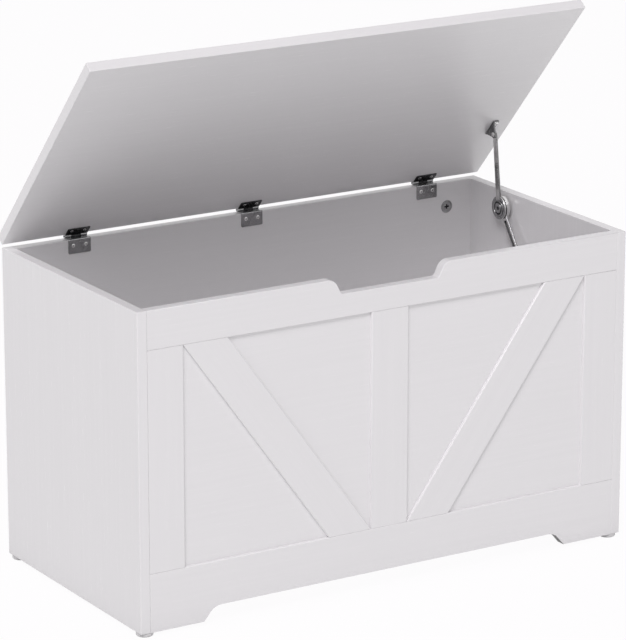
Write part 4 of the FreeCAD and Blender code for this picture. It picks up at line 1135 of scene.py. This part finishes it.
class TRUNK_OT_feet(bpy.types.Operator):
    """Glide feet with their nails"""
    bl_idname = "trunk.feet"
    bl_label = "Glide feet"

    def execute(self, context):
        sizes = context.scene.trunk_fittings
        spots = []
        for node in FEET:
            low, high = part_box(node)
            spot = Vector(((low.x + high.x) / 2, (low.y + high.y) / 2, 0))
            spots.append(Matrix.Translation(spot))
            piece = turned(f"{node}_glide", spot, UP, self.rings(sizes))
            hand_over(paint(piece, "plastic"), CHEST, "pale_plastic", node)
        rings = scaled(NAIL_HEAD, sizes.nail, -sizes.nail_head, sizes.foot_recess)
        rings += scaled(NAIL_SHANK, sizes.nail_shank, sizes.nail_grip, sizes.foot_recess)
        nail = turned("nail", Vector(), UP, rings, SMALL_STEPS)
        piece = copies(nail, "glide_nails", spots)
        hand_over(paint(piece, "bright_steel"), CHEST, "bright_steel", "foot_nails")
        return {"FINISHED"}

    def rings(self, sizes):
        """From the recess's floor down, round the rim and up to the side panel."""
        soft = sizes.foot_round * FOOT_SOFT
        recess = sizes.nail + soft / 2
        return [
            (recess, sizes.foot_recess), (recess, soft), (recess + soft, 0),
            *rounded_rim(sizes.foot, sizes.foot_round, 0),
            (sizes.foot, sizes.foot_height - 3 * soft), (sizes.foot - 1.5 * soft, sizes.foot_height),
        ]


def wall():
    """Inner face of the right side panel."""
    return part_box("right_side_panel")[0].x


def on_wall(spot):
    """The place on that face beside another place."""
    return Vector((wall(), spot.y, spot.z))


def offsets(node):
    """Nearest and farthest distance of a node from that face."""
    low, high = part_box(node)
    return wall() - high.x, wall() - low.x


def bar(name, sizes, near, far_half, near_half, reach):
    """Flat bar that hangs from the origin to its rounded end, drawn on the YZ plane."""
    end = reach + math.copysign(far_half, reach)
    corners = [(near_half, 0), (-near_half, 0), (-far_half, end), (far_half, end)]
    piece = profile(name, "X", corners, -near - sizes.plate, -near, [(far_half * FULL_ROUND, (2, 3))])
    ease(sizes.edge, 2)
    return piece


class TRUNK_OT_stay_arms(bpy.types.Operator):
    """Upper and lower arm of the lid stay with the round knuckle"""
    bl_idname = "trunk.stay_arms"
    bl_label = "Stay arms"

    def execute(self, context):
        sizes = context.scene.trunk_stay
        hand_over(self.lower_arm(sizes), LOWER_ARM, "nickel_steel", "stay_lower_arm")
        hand_over(self.upper_arm(sizes), UPPER_ARM, "nickel_steel", "stay_upper_arm")
        hand_over(self.washer(sizes), LOWER_ARM, "black_nylon", "stay_friction_washer")
        hand_over(self.pin(), UPPER_ARM, "nickel_steel", "stay_elbow_pin")
        hand_over(self.cap(sizes), UPPER_ARM, "nickel_steel", "stay_elbow_cap")
        return {"FINISHED"}

    def lower_arm(self, sizes):
        """Grooved lower arm with the drum of the knuckle."""
        near, far = offsets("stay_lower_arm")
        plate = far - sizes.plate
        reach = -sizes.lower_length
        piece = bar("lower_arm", sizes, plate, sizes.lower_half, sizes.lower_half, reach)
        low = Vector((-far - sizes.groove_depth, -sizes.groove_half, reach + sizes.groove_end))
        high = Vector((sizes.groove_depth - far, sizes.groove_half, -sizes.groove_start))
        groove = block("groove", low, high)
        ease_chosen(groove, sizes.groove_half * GROOVE_ROUND, lambda edge: is_along(edge, RIGHT))
        ease(sizes.edge, 2)
        join_solids(piece, groove, "DIFFERENCE")
        paint(
            piece, "nickel",
            # Paints shade into the groove
            hollow=lambda spot: low.y < spot.y < high.y and (
                low.z < spot.z < high.z and sizes.edge * 0.2 < spot.x + far < sizes.groove_depth * 1.1),
            # Paints shade onto the arm's thin sides
            dull_nickel=lambda spot: self.on_side(sizes, spot, plate, sizes.lower_half),
        )
        drum, soft = sizes.knuckle, sizes.edge
        rings = [*rounded_rim(drum, sizes.plate, near), (drum, far - soft), (drum - soft, far)]
        join_solids(piece, turned("drum", Vector(), -RIGHT, rings), "UNION")
        place(piece, Matrix.Translation(on_wall(ELBOW)) @ Matrix.Rotation(-sizes.lower_tilt, 4, "X"))
        return piece

    def upper_arm(self, sizes):
        """Tapered upper arm with the outer disc of the knuckle."""
        near, far = offsets("stay_upper_arm")
        way = LID_PIVOT - ELBOW
        reach = math.hypot(way.y, way.z)
        piece = bar("upper_arm", sizes, near, sizes.tip_half, sizes.upper_half, reach)
        disc, soft = sizes.knuckle, sizes.edge
        rings = [
            (disc - soft, near), (disc, near + soft),
            *stepped(DISC_RIM, disc, far, soft), *stepped(DISC_HOLE, sizes.cap, far, soft),
        ]
        join_solids(piece, turned("disc", Vector(), -RIGHT, rings), "UNION")
        paint(
            piece, "nickel",
            # Paints shade onto the disc's face, leaving its rim bright
            dull_nickel=lambda spot: spot.yz.length < disc - soft,
            # Paints deeper shade onto the bar's thin sides
            dark_nickel=lambda spot: spot.z > disc and self.on_side(sizes, spot, near, sizes.tip_half),
        )
        tilt = math.atan2(way.y, way.z)
        place(piece, Matrix.Translation(on_wall(ELBOW)) @ Matrix.Rotation(-tilt, 4, "X"))
        return piece

    def on_side(self, sizes, spot, near, half):
        """True for a place on the thin sides of an arm's bar, where shade is painted."""
        middle = near + sizes.plate / 2
        return abs(spot.y) > half * SIDE_START and abs(spot.x + middle) < sizes.plate * SIDE_HALF

    def washer(self, sizes):
        """Friction washer inside the knuckle."""
        near, far = offsets("stay_friction_washer")
        rings = soft_ends(sizes.washer, (far - near) / 4, near, far)
        return paint(turned("friction_washer", on_wall(ELBOW), -RIGHT, rings), "nylon")

    def pin(self):
        """Pin through the knuckle, eased at its end near the side panel."""
        low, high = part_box("stay_elbow_pin")
        radius = (high.z - low.z) / 2
        soft = radius / 5
        near, far = offsets("stay_elbow_pin")
        rings = [(radius - soft, near), (radius, near + soft), (radius, far)]
        return paint(turned("elbow_pin", on_wall(ELBOW), -RIGHT, rings, SMALL_STEPS), "bright_steel")

    def cap(self, sizes):
        """Ringed cap over the knuckle's pin."""
        near, far = offsets("stay_elbow_cap")
        deep, soft = far - sizes.ring_depth, sizes.edge / 2
        outer, inner, socket = sizes.ring_outer, sizes.ring_inner, sizes.socket
        rings = [
            (sizes.cap, near), (sizes.cap, far - soft), (sizes.cap - soft, far),
            (outer + soft / 2, far), (outer, far - soft), (outer - soft, deep),
            (inner + soft, deep), (inner, far - soft), (inner - soft / 2, far),
            (socket + soft, far), (socket, far - soft), *scaled(SOCKET_FLOOR, socket, -soft, deep),
        ]
        piece = turned("knuckle_cap", on_wall(ELBOW), -RIGHT, rings)

        # Paints shade into the ring groove and the socket
        def in_painted_ring_shade(spot):
            radius = (spot - ELBOW).yz.length
            return radius < socket or inner < radius < outer

        # The whole cap is nickel darkened with painted shade
        return paint(piece, "dull_nickel", hollow=in_painted_ring_shade)


def pan_screw(sizes):
    """Pan-head screw with its head above the origin."""
    head, height, shank = sizes.screw_head, sizes.screw_height, sizes.pin * PAN_SHANK
    rings = [
        (shank * SCREW_TIP, -head * PAN_LENGTH), (shank, -head * PAN_STRAIGHT), (shank, 0),
        *scaled(PAN_HEAD, head, height),
    ]
    piece = turned("pan_screw", Vector(), UP, rings, SMALL_STEPS)
    width, reach, depth = PAN_CROSS
    cutter = cross(head * width, head * reach, height * depth)
    place(cutter, Matrix.Translation((0, 0, height)))
    join_solids(piece, cutter, "DIFFERENCE")
    # Paints shade into the cross recess
    return paint(piece, "bright_steel", hollow=lambda spot: (
        0 < spot.z < height * PAN_PAINTED_SHADE and spot.xy.length < head * (reach + CROSS_MARGIN)))


def rivet(name, sizes, node, spot):
    """Pivot pin through a place, as long as its node and domed at both ends."""
    near, far = offsets(node)
    shank = [(sizes.pin, near + sizes.head), (sizes.pin, far - sizes.head)]
    rings = like_ends(RIVET_HEAD, sizes.pin_head, sizes.head, near, far, shank)
    return paint(turned(name, on_wall(spot), -RIGHT, rings, SMALL_STEPS), "bright_steel")


class TRUNK_OT_stay_base(bpy.types.Operator):
    """Slotted base bracket of the lid stay with its screws and pin"""
    bl_idname = "trunk.stay_base"
    bl_label = "Stay base"

    def execute(self, context):
        sizes = context.scene.trunk_stay
        low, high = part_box("stay_base_pin")
        pivot = (low + high) / 2
        tilted = Matrix.Translation(on_wall(pivot)) @ Matrix.Rotation(sizes.slot_tilt, 4, "X")
        piece = self.bracket(sizes)
        place(piece, tilted)
        hand_over(paint(piece, "nickel"), CHEST, "nickel_steel", "stay_base_bracket")
        end = sizes.cavity + sizes.bracket + sizes.flange / 2
        spots = []
        for along in (end, -sizes.slot_travel - end):
            spots.append(tilted @ Matrix.Translation((-sizes.bracket, along, 0)) @ facing(-RIGHT))
        piece = copies(pan_screw(sizes), "base_screws", spots)
        hand_over(piece, CHEST, "bright_steel", "stay_base_screws")
        piece = rivet("base_pin", sizes, "stay_base_pin", pivot)
        hand_over(piece, LOWER_ARM, "nickel_steel", "stay_base_pin")
        return {"FINISHED"}

    def bracket(self, sizes):
        """Hat-shaped strip with a slot in its crown."""
        plate, face, front = -sizes.bracket, -sizes.bracket_height, -sizes.slot_travel
        cavity = sizes.cavity
        bridge = cavity + sizes.bracket
        end = bridge + sizes.flange
        corners = [
            (0, end), (plate, end), (plate, bridge), (face, bridge),
            (face, front - bridge), (plate, front - bridge), (plate, front - end), (0, front - end),
            (0, front - cavity), (face - plate, front - cavity), (face - plate, cavity), (0, cavity),
        ]
        half = sizes.bracket_width / 2
        rounds = [(sizes.bracket * BRACKET_BEND, (3, 4))]
        piece = profile("base_bracket", "Z", corners, -half, half, rounds)
        ease_chosen(piece, half * FLANGE_ROUND, lambda edge: is_along(edge, RIGHT) and (
            min(abs(edge.verts[0].co.y - end), abs(edge.verts[0].co.y - front + end)) < NEAR))
        ease(sizes.edge, 2)
        wide = sizes.slot_half
        low = Vector((face * CUT_PAST, front - wide, -wide))
        slot = block("slot", low, Vector((plate, wide, wide)))
        ease_chosen(slot, wide * FULL_ROUND, lambda edge: is_along(edge, RIGHT))
        return join_solids(piece, slot, "DIFFERENCE")


class TRUNK_OT_stay_lid_bracket(bpy.types.Operator):
    """Bracket of the lid stay under the lid with its screws and pin"""
    bl_idname = "trunk.stay_lid_bracket"
    bl_label = "Stay lid bracket"

    def execute(self, context):
        sizes = context.scene.trunk_stay
        hinges = context.scene.trunk_hinges
        low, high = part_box("stay_lid_bracket")
        outer, inner = low.x, low.x + sizes.bracket
        far = -sizes.lid_reach - sizes.lid_base / 2
        near = -sizes.lid_reach + sizes.lid_base / 2
        level = hinges.under - sizes.bracket
        corners = [(outer, far), (high.x, far), (high.x, near), (outer, near)]
        piece = profile("lid_bracket", "Z", corners, level, hinges.under, [(sizes.lid_corner, (1, 2))])
        ease(sizes.edge, 2)
        join_solids(piece, self.ear(sizes, hinges, far, near, outer, inner), "UNION")
        place(piece, lid_opened())
        # The lid bracket is nickel darkened with painted shade
        hand_over(paint(piece, "dark_nickel"), LID, "nickel_steel", "stay_lid_bracket")
        middle = inner + sizes.lid_flange / 2
        alongs = (near - sizes.screw_inset, far + sizes.screw_inset)
        spots = [under_lid((middle, along, level)) for along in alongs]
        piece = copies(pan_screw(sizes), "lid_bracket_screws", spots)
        hand_over(piece, LID, "bright_steel", "stay_lid_screws")
        piece = rivet("lid_pin", sizes, "stay_lid_pin", LID_PIVOT)
        hand_over(piece, LID, "nickel_steel", "stay_lid_pin")
        return {"FINISHED"}

    def ear(self, sizes, hinges, far, near, outer, inner):
        """Pointed ear with a round tip at the pivot."""
        reach, drop, half = -sizes.lid_reach, -sizes.lid_drop, sizes.ear_half
        corners = [
            (far, hinges.under), (near, hinges.under), (reach + half, drop), (reach + half, drop - half),
            (reach - half, drop - half), (reach - half, drop),
        ]
        piece = profile("ear", "X", corners, outer, inner, [(half * FULL_ROUND, (3, 4))])
        ease(sizes.edge, 2)
        return piece


class TRUNK_OT_joinery(bpy.types.Operator):
    """Finishes for the bolts and dowels inside the joints"""
    bl_idname = "trunk.joinery"
    bl_label = "Bolts and dowels"

    def execute(self, context):
        for node, finish in (("cam_bolts", "bright_steel"), ("dowels", "wood")):
            item = frame["nodes"][node]
            item.data.materials.clear()
            item.data.materials.append(FINISHES[finish])
        return {"FINISHED"}


class TRUNK_OT_stage(bpy.types.Operator):
    """White floor, soft studio light and the camera"""
    bl_idname = "trunk.stage"
    bl_label = "Stage"

    def execute(self, context):
        scene = context.scene
        settings = scene.trunk_stage
        scene.view_settings.view_transform = "Standard"
        self.world(scene, settings)
        self.floor(settings)
        self.lamp(settings)
        self.camera(scene, settings)
        return {"FINISHED"}

    def world(self, scene, settings):
        """White behind the trunk and in its metal, a soft light on everything else."""
        studio = Finish("studio", bpy.data.worlds)
        way = studio.node("ShaderNodeTexCoord", output="Generated")
        height = studio.node("ShaderNodeSeparateXYZ", None, {"Vector": way}, output="Z")
        level = settings.ambient + (settings.ambient_above - settings.ambient) * studio.ramp(height, 0, 1)
        soft = studio.node("ShaderNodeBackground", None, {"Color": tint("light"), "Strength": level})
        white = studio.node("ShaderNodeBackground", None, {"Color": tint("backdrop"), "Strength": 1.0})
        mixed = studio.node("ShaderNodeMixShader", None, {0: self.seen(studio), 1: soft, 2: white})
        studio.node("ShaderNodeOutputWorld", None, {"Surface": mixed})
        scene.world = studio.owner

    def seen(self, finish):
        """1 for what the camera sees, at once or mirrored."""
        straight = finish.node("ShaderNodeLightPath", output="Is Camera Ray")
        mirrored = finish.node("ShaderNodeLightPath", output="Is Glossy Ray")
        return straight + mirrored

    def floor(self, settings):
        """Wide floor that keeps a faint shadow, with a shadow painted into its glow under the trunk."""
        clear_selection()
        bpy.ops.mesh.primitive_circle_add(vertices=ROUND_STEPS, radius=settings.floor, fill_type="NGON")
        floor = begin("floor")
        bpy.ops.mesh.inset(thickness=settings.floor_border)
        bpy.ops.object.mode_set(mode="OBJECT")
        finish = Finish("floor_paint")
        flat = finish.node("ShaderNodeBsdfDiffuse", None, {"Color": tint("floor")})
        glow = finish.node("ShaderNodeEmission", None, {"Color": tint("backdrop")})
        # The floor's glow that lights the trunk has a shadow painted in under the trunk
        lit = settings.floor_glow * self.outside_painted_shadow(finish, settings.floor_painted_shadow)
        amount = lit + (settings.floor_white - lit) * self.seen(finish)
        mixed = finish.node("ShaderNodeMixShader", None, {0: amount, 1: flat, 2: glow})
        finish.node("ShaderNodeOutputMaterial", None, {"Surface": mixed})
        floor.data.materials.append(finish.owner)

    def outside_painted_shadow(self, finish, edge):
        """Painted shadow of the trunk: 0 under it, 1 on the floor round it."""
        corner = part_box("right_side_panel")[1]
        where = finish.node("ShaderNodeTexCoord", output="Object")
        away = self.vector(finish, "ABSOLUTE", where)
        past = self.vector(finish, "SUBTRACT", away, (corner.x, corner.y, 0))
        outside = self.vector(finish, "MAXIMUM", past, (0, 0, 0))
        sockets = {0: outside}
        distance = finish.node("ShaderNodeVectorMath", {"operation": "LENGTH"}, sockets, output="Value")
        return finish.ramp(distance, 0, edge)

    def vector(self, finish, operation, *values):
        """One step of vector maths."""
        return finish.node("ShaderNodeVectorMath", {"operation": operation}, dict(enumerate(values)))

    def lamp(self, settings):
        """One wide soft box, high at the front left."""
        spot = Vector(settings.lamp)
        bpy.ops.object.light_add(type="AREA", location=spot)
        lamp = bpy.context.object
        lamp.name = "key"
        lamp.data.name = "key"
        lamp.data.shape = "SQUARE"
        lamp.data.size = settings.lamp_size
        lamp.data.energy = settings.lamp_power
        lamp.data.color = tint("light")
        way = Vector((0, 0, settings.lamp_aim)) - spot
        lamp.rotation_euler = way.to_track_quat("-Z", "Y").to_euler()

    def camera(self, scene, settings):
        """Camera at the photograph's viewing angle."""
        azimuth, elevation = settings.azimuth, settings.elevation
        flat = math.cos(elevation)
        back = Vector((math.sin(azimuth) * flat, -math.cos(azimuth) * flat, math.sin(elevation)))
        target = Vector((settings.target_x, 0, settings.target_z))
        bpy.ops.object.camera_add(location=target + back * settings.distance)
        camera = bpy.context.object
        camera.rotation_euler = (-back).to_track_quat("-Z", "Y").to_euler()
        camera.data.lens = settings.focal
        camera.data.clip_end = settings.sight
        scene.camera = camera


OPERATORS = (
    TRUNK_OT_side_panels,
    TRUNK_OT_inner_panels,
    TRUNK_OT_front_panel,
    TRUNK_OT_rails,
    TRUNK_OT_stiles,
    TRUNK_OT_braces,
    TRUNK_OT_lid,
    TRUNK_OT_hinges,
    TRUNK_OT_hinge_screws,
    TRUNK_OT_cams,
    TRUNK_OT_feet,
    TRUNK_OT_stay_arms,
    TRUNK_OT_stay_base,
    TRUNK_OT_stay_lid_bracket,
    TRUNK_OT_joinery,
    TRUNK_OT_stage,
)


class TRUNK_PT_pieces(bpy.types.Panel):
    """Lists the trunk's pieces in the order that they are made."""
    bl_idname = "TRUNK_PT_pieces"
    bl_label = "Storage trunk"
    bl_space_type = "VIEW_3D"
    bl_region_type = "UI"
    bl_category = "Trunk"

    def draw(self, context):
        for operator in OPERATORS:
            self.layout.operator(operator.bl_idname)
        for name in GROUPS:
            group = getattr(context.scene, name)
            column = self.layout.column()
            for key in group.__annotations__:
                column.prop(group, key)


def register():
    """Adds the classes and their settings."""
    for name, group in GROUPS.items():
        bpy.utils.register_class(group)
        setattr(bpy.types.Scene, name, PointerProperty(type=group))
    for operator in OPERATORS:
        bpy.utils.register_class(operator)
    bpy.utils.register_class(TRUNK_PT_pieces)


def unregister():
    """Removes the classes and their settings."""
    bpy.utils.unregister_class(TRUNK_PT_pieces)
    for operator in reversed(OPERATORS):
        bpy.utils.unregister_class(operator)
    for name, group in reversed(GROUPS.items()):
        delattr(bpy.types.Scene, name)
        bpy.utils.unregister_class(group)


def main():
    """Makes the trunk."""
    register()
    make_finishes()
    for operator in OPERATORS:
        family, name = operator.bl_idname.split(".")
        getattr(getattr(bpy.ops, family), name)()


if __name__ == "__main__":
    main()
